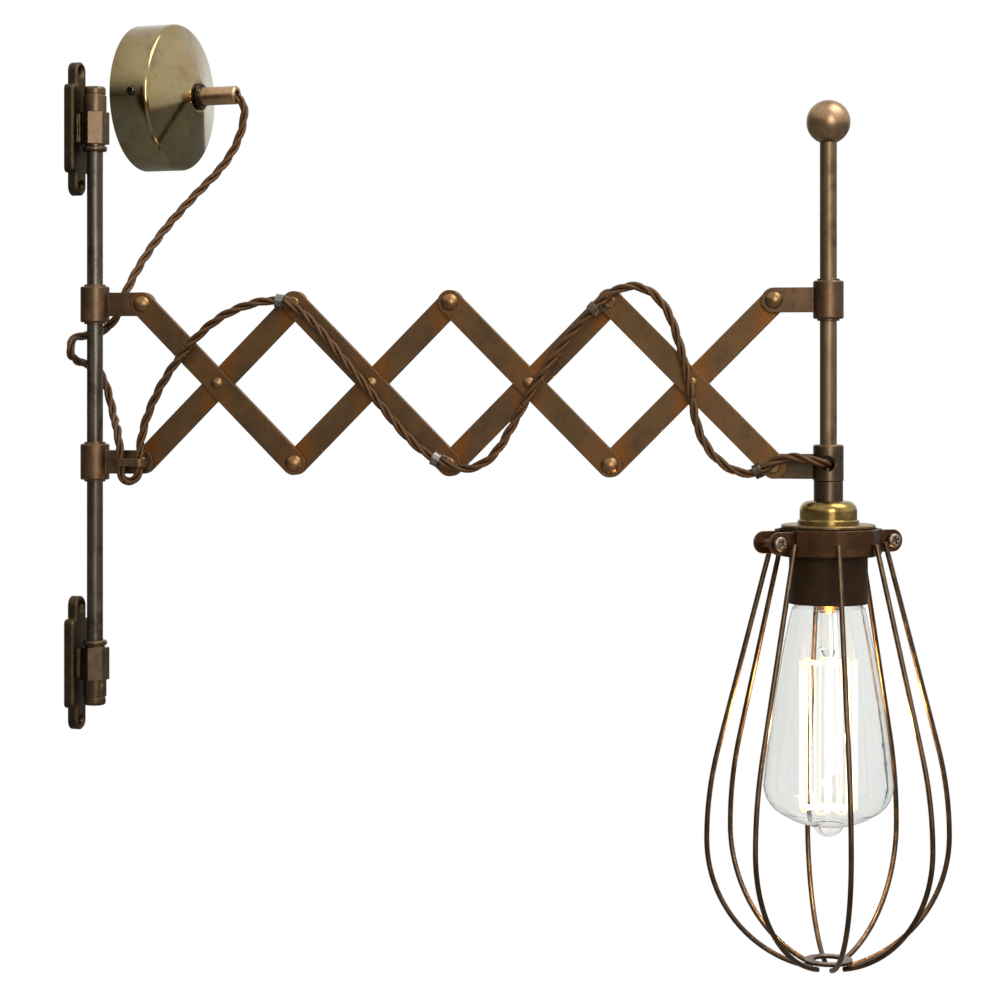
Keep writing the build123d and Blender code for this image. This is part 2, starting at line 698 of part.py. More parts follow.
lamp_entry = [
    (321.0, cord_front, -7.0),
    (323.5, cord_front, -17.5),
    (328.5, cord_front, -27.0),
    (336.0, cord_front, -34.3),
    (343.5, cord_front, -38.0),
    (350.2, cord_front, -38.5),
    (356.5, cord_front, -35.7),
    (364.5, cord_front, -31.0),
    (371.0, 8.8, -29.8),
    (378.0, 11.2, -31.0),
    (end_station + CORD_HOLE_SHIFT, 11.4, low_z + BLOCK_RISE - CORD_HOLE_DROP),
    (end_station + CORD_HOLE_SHIFT, 1.0, low_z + BLOCK_RISE - CORD_HOLE_DROP),
]
stretches = {
    "cord_canopy_drop": [Vector(*bend) for bend in canopy_drop],
    "cord_rod_loop": [Vector(*bend) for bend in rod_loop],
    "cord_fold_rise": [arm_point(*bend) for bend in fold_rise],
    "cord_first_top": [arm_point(*bend) for bend in first_top],
    "cord_middle_low": [arm_point(*bend) for bend in middle_low],
    "cord_third_top": [arm_point(*bend) for bend in third_top],
    "cord_lamp_entry": [arm_point(*bend) for bend in lamp_entry],
}
bends = list(stretches.values())
cuts = [(before[-1] + after[0]) * 0.5 for before, after in zip(bends, bends[1:])]
heads = [[]] + [[cut] for cut in cuts]
tails = [[cut] for cut in cuts] + [[]]

# Cord tubes along the route; their least radius, length and volume are printed
cord_length = 0.0
for name, head, tail in zip(stretches, heads, tails):
    points = head + stretches[name] + tail
    runs = [after - before for before, after in zip(points, points[1:])]
    radii = []
    for before, after in zip(runs, runs[1:]):
        half_turn = radians(before.get_angle(after) / 2)
        shorter = min(before.length, after.length)
        radii.append(CORD_ARC_SHARE * shorter / tan(half_turn))
    with BuildPart() as tube:
        with BuildLine() as path:
            FilletPolyline(*points, radius=radii)
        with BuildSketch(Plane(origin=points[0], z_dir=runs[0])):
            Circle(CORD_D / 2)
        sweep()
    tube.part.label = name
    export_step(tube.part, f"parts/{name}.step")
    length = sum(edge.length for edge in path.edges())
    cord_length += length
    share = tube.part.volume / (pi * CORD_D**2 / 4 * length)
    print(f"{name}: length {length:.1f}, volume over section times length {share:.4f}")
    print("   radii", " ".join(f"{radius:.1f}" for radius in radii))
print(f"cord length {cord_length:.1f}")

# Cord clips: a band round the cord on a flat foot that a rivet holds
band_in_r = CORD_D / 2 + FREE_CLEAR
band_out_r = band_in_r + CLIP_T


def cord_clip(pivot, before, after):
    """Clip on the run between two route points, its foot under the rivet at pivot."""
    centre = (before + after) * 0.5
    foot_middle = ((pivot[0] + centre.X) / 2, (pivot[1] + centre.Y) / 2)
    foot_l = sqrt((pivot[0] - centre.X) ** 2 + (pivot[1] - centre.Y) ** 2)
    foot_turn = degrees(atan2(pivot[1] - centre.Y, pivot[0] - centre.X))
    along = arm_point(after.X, cord_front, after.Y) - arm_point(before.X, cord_front, before.Y)
    band_plane = Plane(origin=arm_point(centre.X, cord_front, centre.Y), z_dir=along)
    with BuildPart() as clip:
        with BuildSketch(arm_plane(front_face)):
            with Locations(foot_middle):
                SlotCenterToCenter(foot_l, CLIP_FOOT_W, rotation=foot_turn)
        extrude(amount=CLIP_T)
        with BuildSketch(band_plane.offset(-CLIP_L / 2)):
            Circle(band_out_r)
        extrude(amount=CLIP_L)
        with BuildSketch(band_plane.offset(-CLIP_FOOT_W)):
            Circle(band_in_r)
        extrude(amount=2 * CLIP_FOOT_W, mode=Mode.SUBTRACT)
        with BuildSketch(arm_plane(front_face)):
            with Locations(pivot):
                Circle(pivot_hole_r)
        extrude(amount=CLIP_T, mode=Mode.SUBTRACT)
    return clip.part


def route_run(route, index):
    """The two ends of run number index of a route, as distance along the arm and height."""
    before, after = route[index], route[index + 1]
    return Vector(before[0], before[2]), Vector(after[0], after[2])


with BuildPart() as cord_clips_bar_2:
    add(cord_clip((pivot_station(1), high_z), *route_run(first_top, 3)))
    add(cord_clip((pivot_station(2), low_z), *route_run(middle_low, 3)))
cord_clips_bar_2.part.label = "cord_clips_bar_2"
export_step(cord_clips_bar_2.part, "parts/cord_clips_bar_2.step")

with BuildPart() as cord_clips_bar_4:
    add(cord_clip((pivot_station(3), high_z), *route_run(third_top, 3)))
    add(cord_clip((pivot_station(4), low_z), *route_run(lamp_entry, 5)))
cord_clips_bar_4.part.label = "cord_clips_bar_4"
export_step(cord_clips_bar_4.part, "parts/cord_clips_bar_4.step")

# Clip of the cord's fold: a long band round both legs, held by the lower wall rivet
fold_plane = Plane(
    origin=arm_point(FOLD_STATION, cord_front, FOLD_CLIP_Z - CLIP_L / 2), x_dir=arm_dir, z_dir=up
)
fold_foot_l = pivot_station(0) - FOLD_STATION + FOLD_PITCH / 2
with BuildPart() as fold_clip:
    with BuildSketch(arm_plane(front_face)):
        with Locations((FOLD_STATION - FOLD_PITCH / 2 + fold_foot_l / 2, low_z)):
            SlotCenterToCenter(fold_foot_l, CLIP_FOOT_W)
    extrude(amount=CLIP_T)
    with BuildSketch(fold_plane):
        SlotCenterToCenter(FOLD_PITCH, 2 * band_out_r)
    extrude(amount=CLIP_L)
    with BuildSketch(fold_plane.offset(-CLIP_FOOT_W)):
        SlotCenterToCenter(FOLD_PITCH, 2 * band_in_r)
    extrude(amount=2 * CLIP_FOOT_W + CLIP_L, mode=Mode.SUBTRACT)
    with BuildSketch(arm_plane(front_face)):
        with Locations((pivot_station(0), low_z)):
            Circle(pivot_hole_r)
    extrude(amount=CLIP_T, mode=Mode.SUBTRACT)
    with BuildSketch(arm_plane(front_face + CLIP_T)):
        with Locations((pivot_station(0), low_z)):
            Circle(FLAT_HEAD_D / 2 + FREE_CLEAR)
    extrude(amount=cord_front - front_face - CLIP_T, mode=Mode.SUBTRACT)
fold_clip.part.label = "fold_clip"
export_step(fold_clip.part, "parts/fold_clip.step")

# End block: holds the end rod above and the lamp below, with the tab of the last lower pivot
lamp_foot = arm_point(end_station, 0, 0)
lamp_axis = Axis(lamp_foot, up)
lamp_section = Plane(origin=lamp_foot, x_dir=arm_dir, z_dir=arm_front)
block_top = low_z + BLOCK_RISE
block_foot = block_top - BLOCK_H
cord_hole_z = block_top - CORD_HOLE_DROP
coupler_top_r = COUPLER_TOP_D / 2
with BuildPart() as end_block:
    with BuildSketch(level_plane(end_station, block_foot)):
        Circle(BLOCK_D / 2)
    extrude(amount=BLOCK_H)
    chamfer(end_block.edges().filter_by(GeomType.CIRCLE), BLOCK_BEVEL)
    with BuildSketch(arm_plane(rear_face)):
        with Locations((end_station - TAB_REACH / 2, low_z)):
            Rectangle(TAB_REACH, TAB_W)
        with Locations((end_station - TAB_REACH, low_z)):
            Circle(TAB_W / 2)
            Circle(pivot_hole_r, mode=Mode.SUBTRACT)
    extrude(amount=BAR_T)
    with BuildSketch(level_plane(end_station, block_top)):
        Circle(ROD_D / 2 + FIT_CLEAR)
    extrude(amount=-BLOCK_ROD_DEPTH, mode=Mode.SUBTRACT)
    with BuildSketch(level_plane(end_station, block_foot)):
        Circle(coupler_top_r + FIT_CLEAR)
    extrude(amount=COUPLER_TOP_L + FREE_CLEAR, mode=Mode.SUBTRACT)
    with BuildSketch(level_plane(end_station, block_foot)):
        Circle(WIRE_BORE_D / 2)
    extrude(amount=cord_hole_z - block_foot, mode=Mode.SUBTRACT)
    with BuildSketch(arm_plane(0)):
        with Locations((end_station + CORD_HOLE_SHIFT, cord_hole_z)):
            Circle(CORD_HOLE_D / 2)
    extrude(amount=BLOCK_D, mode=Mode.SUBTRACT)
end_block.part.label = "end_block"
export_step(end_block.part, "parts/end_block.step")

# End rod, from the block up into the knob
knob_foot = KNOB_Z - KNOB_D / 2
rod_end_top = knob_foot + KNOB_BORE_H - FREE_CLEAR
rod_end_foot = block_top - BLOCK_ROD_DEPTH
with BuildPart() as end_rod:
    with BuildSketch(level_plane(end_station, rod_end_foot)):
        Circle(ROD_D / 2)
    extrude(amount=rod_end_top - rod_end_foot)
end_rod.part.label = "end_rod"
export_step(end_rod.part, "parts/end_rod.step")

# Ball knob on the end rod
with BuildPart() as ball_knob:
    with Locations(lamp_foot + up * KNOB_Z):
        Sphere(KNOB_D / 2)
    with BuildSketch(level_plane(end_station, knob_foot)):
        Circle(ROD_D / 2 + FIT_CLEAR)
    extrude(amount=KNOB_BORE_H, mode=Mode.SUBTRACT)
ball_knob.part.label = "ball_knob"
export_step(ball_knob.part, "parts/ball_knob.step")

# Neck coupler between the end block and the lampholder
coupler_foot = block_foot - COUPLER_H
coupler_tail_r = COUPLER_TAIL_D / 2
with BuildPart() as neck_coupler:
    with BuildSketch(level_plane(end_station, coupler_foot)):
        Circle(COUPLER_D / 2)
    extrude(amount=COUPLER_H)
    with BuildSketch(level_plane(end_station, block_foot)):
        Circle(coupler_top_r)
    extrude(amount=COUPLER_TOP_L)
    with BuildSketch(level_plane(end_station, coupler_foot)):
        Circle(coupler_tail_r)
    extrude(amount=-COUPLER_TAIL_L)
    with BuildSketch(level_plane(end_station, coupler_foot - COUPLER_TAIL_L)):
        Circle(WIRE_BORE_D / 2)
    extrude(amount=COUPLER_TAIL_L + COUPLER_H + COUPLER_TOP_L, mode=Mode.SUBTRACT)
neck_coupler.part.label = "neck_coupler"
export_step(neck_coupler.part, "parts/neck_coupler.step")

# Brass cap of the lampholder, round-shouldered, with a rim at its foot
cap_top = coupler_foot
cap_foot = cap_top - HOLDER_CAP_H
holder_r = HOLDER_CAP_D / 2
cap_hole_r = coupler_tail_r + FIT_CLEAR
with BuildPart() as holder_cap:
    with BuildSketch(lamp_section):
        with BuildLine():
            outside = FilletPolyline(
                (cap_hole_r, cap_top),
                (holder_r, cap_top),
                (holder_r, cap_foot + HOLDER_RIM_H),
                (holder_r + HOLDER_RIM, cap_foot + HOLDER_RIM_H),
                (holder_r + HOLDER_RIM, cap_foot),
                radius=[HOLDER_CAP_ROUND, 0, HOLDER_RIM / 2],
            )
            inside = FilletPolyline(
                (cap_hole_r, cap_top - HOLDER_WALL),
                (holder_r - HOLDER_WALL, cap_top - HOLDER_WALL),
                (holder_r - HOLDER_WALL, cap_foot),
                radius=[HOLDER_CAP_ROUND - HOLDER_WALL],
            )
            Line(outside @ 0, inside @ 0)
            Line(outside @ 1, inside @ 1)
        make_face()
    revolve(axis=lamp_axis)
holder_cap.part.label = "holder_cap"
export_step(holder_cap.part, "parts/holder_cap.step")

# Flange between the cap and the skirt
flange_foot = cap_foot - FLANGE_T
with BuildPart() as holder_flange:
    with BuildSketch(level_plane(end_station, flange_foot)):
        Circle(FLANGE_D / 2)
    extrude(amount=FLANGE_T)
    chamfer(holder_flange.edges().filter_by(GeomType.CIRCLE), FLANGE_BEVEL)
    with BuildSketch(level_plane(end_station, flange_foot)):
        Circle(WIRE_BORE_D / 2)
    extrude(amount=FLANGE_T, mode=Mode.SUBTRACT)
holder_flange.part.label = "holder_flange"
export_step(holder_flange.part, "parts/holder_flange.step")

# Lampholder skirt: wide head that the cage band grips, narrower shade ring below
skirt_r = SKIRT_D / 2
skirt_head_r = FLANGE_D / 2
skirt_in_r = skirt_r - SKIRT_WALL
skirt_step = flange_foot - SKIRT_HEAD_H
skirt_foot = flange_foot - SKIRT_L
with BuildPart() as holder_skirt:
    with BuildSketch(lamp_section):
        with BuildLine():
            Polyline(
                (skirt_head_r - SKIRT_WALL, flange_foot),
                (skirt_head_r, flange_foot),
                (skirt_head_r, skirt_step),
                (skirt_r, skirt_step),
                (skirt_r, skirt_foot),
                (skirt_in_r, skirt_foot),
                (skirt_in_r, skirt_step + SKIRT_WALL),
                (skirt_head_r - SKIRT_WALL, skirt_step + SKIRT_WALL),
                close=True,
            )
        make_face()
    revolve(axis=lamp_axis)
holder_skirt.part.label = "holder_skirt"
export_step(holder_skirt.part, "parts/holder_skirt.step")

# Ceramic core under the flange
core_foot = flange_foot - CORE_H
with BuildPart() as holder_core:
    with BuildSketch(level_plane(end_station, core_foot)):
        Circle(CORE_D / 2)
        Circle(WIRE_BORE_D / 2, mode=Mode.SUBTRACT)
    extrude(amount=CORE_H)
holder_core.part.label = "holder_core"
export_step(holder_core.part, "parts/holder_core.step")

# Screw shell under the core
bulb_cap_r = BULB_CAP_D / 2
shell_in_r = bulb_cap_r + RUN_CLEAR
with BuildPart() as holder_screw_shell:
    with BuildSketch(level_plane(end_station, core_foot - SHELL_L)):
        Circle(shell_in_r + SHELL_WALL)
    extrude(amount=SHELL_L)
    with BuildSketch(level_plane(end_station, core_foot - SHELL_L)):
        Circle(shell_in_r)
    extrude(amount=SHELL_L - SHELL_WALL, mode=Mode.SUBTRACT)
    with BuildSketch(level_plane(end_station, core_foot)):
        Circle(SHELL_HOLE_D / 2)
    extrude(amount=-SHELL_WALL, mode=Mode.SUBTRACT)
holder_screw_shell.part.label = "holder_screw_shell"
export_step(holder_screw_shell.part, "parts/holder_screw_shell.step")

# Centre contact, through the shell's hole
with BuildPart() as holder_contact:
    with BuildSketch(level_plane(end_station, core_foot - CONTACT_H)):
        Circle(CONTACT_D / 2)
        Circle(WIRE_BORE_D / 4, mode=Mode.SUBTRACT)
    extrude(amount=CONTACT_H)
holder_contact.part.label = "holder_contact"
export_step(holder_contact.part, "parts/holder_contact.step")

# Bulb's screw cap: contact button, insulator cone and thin shell
bulb_top = core_foot - CONTACT_H - RUN_CLEAR
button_foot = bulb_top - BULB_BUTTON_H
bulb_shell_top = button_foot - BULB_INSULATOR_H
bulb_shell_foot = bulb_shell_top - BULB_CAP_L
bulb_shell_in_r = bulb_cap_r - BULB_CAP_WALL
with BuildPart() as bulb_screw_cap:
    with BuildSketch(lamp_section):
        with BuildLine():
            Polyline(
                (0, bulb_top),
                (BULB_BUTTON_D / 2, bulb_top),
                (BULB_BUTTON_D / 2, button_foot),
                (bulb_cap_r, bulb_shell_top),
                (bulb_cap_r, bulb_shell_foot),
                (bulb_shell_in_r, bulb_shell_foot),
                (bulb_shell_in_r, bulb_shell_top - BULB_CAP_WALL),
                (0, bulb_shell_top - BULB_CAP_WALL),
                close=True,
            )
        make_face()
    revolve(axis=lamp_axis)
bulb_screw_cap.part.label = "bulb_screw_cap"
export_step(bulb_screw_cap.part, "parts/bulb_screw_cap.step")

# Bulb glass: neck in the cap, flare, long bowed side, round base and sealing pip
glass_neck_r = bulb_shell_in_r - FREE_CLEAR
glass_top = bulb_shell_foot + GLASS_NECK_L
throat_r = GLASS_THROAT_D / 2
throat_z = bulb_shell_foot - GLASS_FLARE_H
widest_r = GLASS_D / 2
widest_z = throat_z - GLASS_SIDE_H
side_middle_r = (throat_r + widest_r) / 2 + GLASS_BULGE
corner_turn = radians(GLASS_CORNER_TURN)
corner_middle_r = widest_r - GLASS_CORNER_R
base_r = corner_middle_r / cos(corner_turn) + GLASS_CORNER_R
base_middle_z = widest_z + corner_middle_r * tan(corner_turn)
base_turn = 90 - GLASS_CORNER_TURN
pip_r = PIP_D / 2
pip_z = base_middle_z - sqrt(base_r**2 - pip_r**2)
pip_foot = pip_z - PIP_H
with BuildPart() as bulb_glass:
    with BuildSketch(lamp_section):
        with BuildLine():
            rims = []
            for inset in (0.0, GLASS_T):
                dip_r = pip_r - inset
                dip_z = base_middle_z - sqrt((base_r - inset) ** 2 - dip_r**2)
                base_end = degrees(atan2(dip_r, base_middle_z - dip_z))
                dip_foot = pip_foot + inset
                dip_point = dome_point(dip_r, dip_z - dip_foot)
                neck = Polyline(
                    (glass_neck_r - inset, glass_top),
                    (glass_neck_r - inset, bulb_shell_foot),
                    (throat_r - inset, throat_z),
                )
                flank = ThreePointArc(
                    neck @ 1,
                    (side_middle_r - inset, (throat_z + widest_z) / 2),
                    (widest_r - inset, widest_z),
                )
                corner = JernArc(flank @ 1, (0, -1), GLASS_CORNER_R - inset, -GLASS_CORNER_TURN)
                base = JernArc(corner @ 1, corner % 1, base_r - inset, base_end - base_turn)
                ThreePointArc(base @ 1, (dip_point[0], dip_z - dip_point[1]), (0, dip_foot))
                rims.append(neck @ 0)
            Line((0, pip_foot), (0, pip_foot + GLASS_T))
            Line(*rims)
        make_face()
    revolve(axis=lamp_axis)
bulb_glass.part.label = "bulb_glass"
export_step(bulb_glass.part, "parts/bulb_glass.step")

# Glass stem inside the bulb, flared to the neck
stem_top = bulb_shell_foot
stem_foot = stem_top - STEM_L
stem_r = STEM_D / 2
with BuildPart() as bulb_stem:
    with BuildSketch(lamp_section):
        with BuildLine():
            Polyline(
                (0, stem_top),
                (glass_neck_r - GLASS_T - FREE_CLEAR, stem_top),
                (stem_r, stem_top - STEM_FLARE_H),
                (stem_r, stem_foot + stem_r),
                (stem_r / 2, stem_foot),
                (0, stem_foot),
                close=True,
            )
        make_face()
    revolve(axis=lamp_axis)
bulb_stem.part.label = "bulb_stem"
export_step(bulb_stem.part, "parts/bulb_stem.step")

# Support rod under the stem with two spiders of wire, and the filament hung between them
filament_r = FILAMENT_RING_D / 2
upper_spider = stem_foot - SUPPORT_DROP
base_foot = base_middle_z - base_r + GLASS_T
lower_spider = base_foot + SUPPORT_FOOT_GAP + SUPPORT_DROP
filament_turns = [2 * pi * index / FILAMENTS for index in range(FILAMENTS)]
with BuildPart() as bulb_supports:
    with BuildSketch(level_plane(end_station, lower_spider - SUPPORT_DROP)):
        Circle(SUPPORT_ROD_D / 2)
    extrude(amount=stem_foot - lower_spider + SUPPORT_DROP)
    for spider in (upper_spider, lower_spider):
        hub = lamp_foot + up * spider
        for turn in filament_turns:
            with BuildSketch(Plane(origin=hub, z_dir=arm_dir.rotate(Axis.Z, degrees(turn)))):
                Circle(SUPPORT_D / 2)
            extrude(amount=filament_r - FILAMENT_D / 2 - FIT_CLEAR)
bulb_supports.part.label = "bulb_supports"
export_step(bulb_supports.part, "parts/bulb_supports.step")

with BuildPart() as bulb_filament:
    with BuildSketch(level_plane(end_station, lower_spider - SUPPORT_D)):
        with PolarLocations(filament_r, FILAMENTS):
            Circle(FILAMENT_D / 2)
    extrude(amount=upper_spider - lower_spider + 2 * SUPPORT_D)
bulb_filament.part.label = "bulb_filament"
export_step(bulb_filament.part, "parts/bulb_filament.step")

# Cage band: an eight-sided strip in two halves, each ending in two ears
band_top = flange_foot - BAND_DROP
band_foot = band_top - BAND_H
band_out = BAND_AF / 2
cage_dir = arm_dir.rotate(Axis.Z, CAGE_TURN)
cage_side = cage_dir.rotate(Axis.Z, 90)
half_reach = EAR_REACH + EAR_D
for name, side in (("cage_band_front", -1), ("cage_band_rear", 1)):
    ear_plane = Plane(
        origin=lamp_foot + up * (band_foot + BAND_H / 2) + cage_side * (side * EAR_GAP / 2),
        x_dir=cage_dir,
        z_dir=cage_side * -1,
    )
    with BuildPart() as band:
        with BuildSketch(Plane(origin=lamp_foot + up * band_foot, x_dir=cage_dir, z_dir=up)):
            RegularPolygon(band_out, 8, major_radius=False, rotation=22.5)
            RegularPolygon(band_out - BAND_T, 8, major_radius=False, rotation=22.5, mode=Mode.SUBTRACT)
            with Locations((0, -side * (half_reach - EAR_GAP) / 2)):
                Rectangle(2 * half_reach, half_reach, mode=Mode.SUBTRACT)
        extrude(amount=BAND_H)
        with BuildSketch(ear_plane):
            for end in (-1, 1):
                with Locations((end * (band_out - BAND_T + EAR_REACH) / 2, 0)):
                    Rectangle(EAR_REACH - band_out + BAND_T, EAR_D)
                with Locations((end * EAR_REACH, 0)):
                    Circle(EAR_D / 2)
                    Circle(CLAMP_SCREW_D / 2 + FIT_CLEAR, mode=Mode.SUBTRACT)
        extrude(amount=-side * BAND_T)
    band.part.label = name
    export_step(band.part, f"parts/{name}.step")

# Clamp screws through the ears, heads on the front half, and their nuts on the rear half
clamp_plane = Plane(
    origin=lamp_foot + up * (band_foot + BAND_H / 2), x_dir=cage_dir, z_dir=cage_side * -1
)
ear_seat = EAR_GAP / 2 + BAND_T
with BuildPart() as cage_clamp_screws:
    with BuildSketch(clamp_plane.offset(-ear_seat - CLAMP_NUT_T - CLAMP_TAIL)):
        with GridLocations(2 * EAR_REACH, 0, 2, 1):
            Circle(CLAMP_SCREW_D / 2)
    extrude(amount=2 * ear_seat + CLAMP_NUT_T + CLAMP_TAIL)
    with BuildSketch(clamp_plane.offset(ear_seat)):
        with GridLocations(2 * EAR_REACH, 0, 2, 1):
            Circle(CLAMP_HEAD_D / 2)
    extrude(amount=CLAMP_HEAD_H, taper=15)
    with BuildSketch(clamp_plane.offset(-ear_seat)):
        with GridLocations(2 * EAR_REACH, 0, 2, 1):
            RegularPolygon(CLAMP_NUT_AF / 2, 6, major_radius=False)
            Circle(CLAMP_SCREW_D / 2 + FIT_CLEAR, mode=Mode.SUBTRACT)
    extrude(amount=-CLAMP_NUT_T)
cage_clamp_screws.part.label = "cage_clamp_screws"
export_step(cage_clamp_screws.part, "parts/cage_clamp_screws.step")

# Cage wires: straight flank, gentle curve to the widest place, round base to the ring
wire_r = CAGE_WIRE_D / 2
corner_r = band_out / cos(pi / 8)
wire_top_r = corner_r + CAGE_WIRE_GAP + wire_r / cos(radians(CAGE_SLOPE))
wire_top = band_top - CAGE_WIRE_DROP
slope = radians(CAGE_SLOPE)
ring_r = CAGE_RING_D / 2
with BuildPart() as one_wire:
    with BuildLine(Plane.XZ) as wire_path:
        flank = Line(
            (wire_top_r, wire_top),
            (wire_top_r + CAGE_LINE_H * tan(slope), wire_top - CAGE_LINE_H),
        )
        waist = JernArc(flank @ 1, flank % 1, CAGE_SIDE_R, -CAGE_SLOPE)
        cage_r = (waist @ 1).X
        base_middle = cage_r - CAGE_BASE_R
        wire_end_r = ring_r - CAGE_RING_W / 2
        base_turn = 90 - degrees(atan2(wire_end_r - base_middle, CAGE_BASE_R))
        JernArc(waist @ 1, waist % 1, CAGE_BASE_R, -base_turn)
    with BuildSketch(Plane(origin=flank @ 0, z_dir=flank % 0)):
        Circle(wire_r)
    sweep()
with BuildPart() as cage_wires:
    with Locations(lamp_foot):
        with PolarLocations(0, CAGE_WIRES, start_angle=REST_SWIVEL + CAGE_TURN + 22.5):
            add(one_wire.part)
cage_wires.part.label = "cage_wires"
export_step(cage_wires.part, "parts/cage_wires.step")

# Bottom ring, lying on the ends of the wires
ring_lift = sqrt((CAGE_BASE_R - wire_r) ** 2 - (ring_r - base_middle) ** 2)
ring_foot = (waist @ 1).Z - ring_lift + FREE_CLEAR
with BuildPart() as cage_ring:
    with BuildSketch(level_plane(end_station, ring_foot)):
        Circle(ring_r)
        Circle(ring_r - CAGE_RING_W, mode=Mode.SUBTRACT)
    extrude(amount=CAGE_RING_T)
cage_ring.part.label = "cage_ring"
export_step(cage_ring.part, "parts/cage_ring.step")
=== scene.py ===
from math import cos, pi, radians, sin

import bpy
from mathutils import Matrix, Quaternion, Vector


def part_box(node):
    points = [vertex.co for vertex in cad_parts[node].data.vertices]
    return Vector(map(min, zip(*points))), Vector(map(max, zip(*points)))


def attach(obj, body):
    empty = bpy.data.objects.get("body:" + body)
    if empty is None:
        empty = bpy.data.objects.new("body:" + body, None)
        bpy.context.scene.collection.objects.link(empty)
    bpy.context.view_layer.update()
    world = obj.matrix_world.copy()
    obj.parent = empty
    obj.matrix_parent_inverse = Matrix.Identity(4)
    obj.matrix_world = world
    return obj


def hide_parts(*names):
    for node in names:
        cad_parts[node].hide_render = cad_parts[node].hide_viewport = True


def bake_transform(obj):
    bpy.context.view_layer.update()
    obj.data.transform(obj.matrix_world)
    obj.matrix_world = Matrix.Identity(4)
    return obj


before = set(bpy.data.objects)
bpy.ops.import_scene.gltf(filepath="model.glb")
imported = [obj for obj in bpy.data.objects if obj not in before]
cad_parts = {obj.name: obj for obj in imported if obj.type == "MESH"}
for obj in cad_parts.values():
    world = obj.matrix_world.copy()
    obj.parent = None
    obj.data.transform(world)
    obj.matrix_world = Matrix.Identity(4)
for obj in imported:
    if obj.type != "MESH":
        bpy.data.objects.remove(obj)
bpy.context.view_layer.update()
scene = bpy.context.scene
scene.view_settings.view_transform = "Standard"
bpy.ops.object.select_all(action="DESELECT")

# Studio: a level camera on the lamp's side of the arm's face, a floor that looks white to the
# camera and keeps a faint shadow, and a white room with a soft box overhead and one in front.
camera_data = bpy.data.cameras.new("studio_camera")
camera_data.sensor_width = 36.0
camera_data.lens = 93.6
camera_data.shift_y = -0.12
camera_data.clip_end = 20.0
studio_camera = bpy.data.objects.new("studio_camera", camera_data)
studio_camera.location = (0.7091, -1.2119, 0.0084)
studio_camera.rotation_euler = (radians(90), 0, radians(21))
scene.collection.objects.link(studio_camera)
scene.camera = studio_camera


def set_inputs(tree, node, values):
    """Sets a node's inputs, by name or number, to sockets, numbers, vectors or colours."""
    for label, value in values.items():
        socket = node.inputs[label]
        if isinstance(value, bpy.types.NodeSocket):
            tree.links.new(value, socket)
        elif socket.type == "RGBA":
            socket.default_value = (*value, 1)
        else:
            socket.default_value = value


def math_node(tree, operation, first, second):
    """A math node of two values, each a socket or a number; gives its output."""
    node = tree.nodes.new("ShaderNodeMath")
    node.operation = operation
    set_inputs(tree, node, {0: first, 1: second})
    return node.outputs[0]


def dot_of(tree, first, second):
    """The dot product of two directions, each a socket or a vector; gives its output."""
    node = tree.nodes.new("ShaderNodeVectorMath")
    node.operation = "DOT_PRODUCT"
    set_inputs(tree, node, {0: first, 1: second})
    return node.outputs["Value"]


def span_of(tree, value, low, high, to_low=0.0, to_high=1.0, ease="LINEAR"):
    """A value mapped from one range to another, held at the ends."""
    node = tree.nodes.new("ShaderNodeMapRange")
    node.interpolation_type = ease
    set_inputs(tree, node, {"Value": value, "From Min": low, "From Max": high,
                            "To Min": to_low, "To Max": to_high})
    return node.outputs["Result"]


# the room is white overhead and to the right, dim low down and on the left, and has a white
# backdrop in what the metal mirrors
BRIGHT_SIDE = (0.30, -0.05, 0.95)
BACKDROP_SIDE, BACKDROP_EDGE = (-0.358, 0.934, 0), 0.8
room = bpy.data.worlds.new("white_room")
room.use_nodes = True
scene.world = room
tree = room.node_tree
tree.nodes.clear()
room_out = tree.nodes.new("ShaderNodeOutputWorld")
room_light = tree.nodes.new("ShaderNodeBackground")
rays = tree.nodes.new("ShaderNodeLightPath").outputs
direction = tree.nodes.new("ShaderNodeTexCoord").outputs["Generated"]
backdrop = math_node(tree, "GREATER_THAN", dot_of(tree, direction, BACKDROP_SIDE), BACKDROP_EDGE)
mirrored = math_node(tree, "MULTIPLY", rays["Is Glossy Ray"], backdrop)
strength = span_of(tree, dot_of(tree, direction, BRIGHT_SIDE), -0.12, 0.45, 0.1, 1.0, "SMOOTHSTEP")
for ray in (rays["Is Camera Ray"], rays["Is Transmission Ray"], mirrored):
    strength = math_node(tree, "MAXIMUM", strength, ray)
set_inputs(tree, room_light, {"Color": (1, 1, 1), "Strength": strength})
tree.links.new(room_light.outputs[0], room_out.inputs["Surface"])


def soft_box(name, place, aim, width, height, power, colour):
    """A rectangular studio lamp at place, facing aim."""
    data = bpy.data.lights.new(name, "AREA")
    data.shape = "RECTANGLE"
    data.size = width
    data.size_y = height
    data.energy = power
    data.color = colour
    lamp = bpy.data.objects.new(name, data)
    lamp.location = place
    lamp.rotation_euler = (Vector(aim) - Vector(place)).to_track_quat("-Z", "Y").to_euler()
    scene.collection.objects.link(lamp)


soft_box("key_box", (1.05, 0.05, 1.25), (0.25, 0, 0), 1.0, 0.9, 17, (1, 0.98, 0.95))
soft_box("front_box", (1.15, -1.35, 0.35), (0.25, 0, -0.05), 0.6, 0.9, 12, (1, 0.97, 0.93))

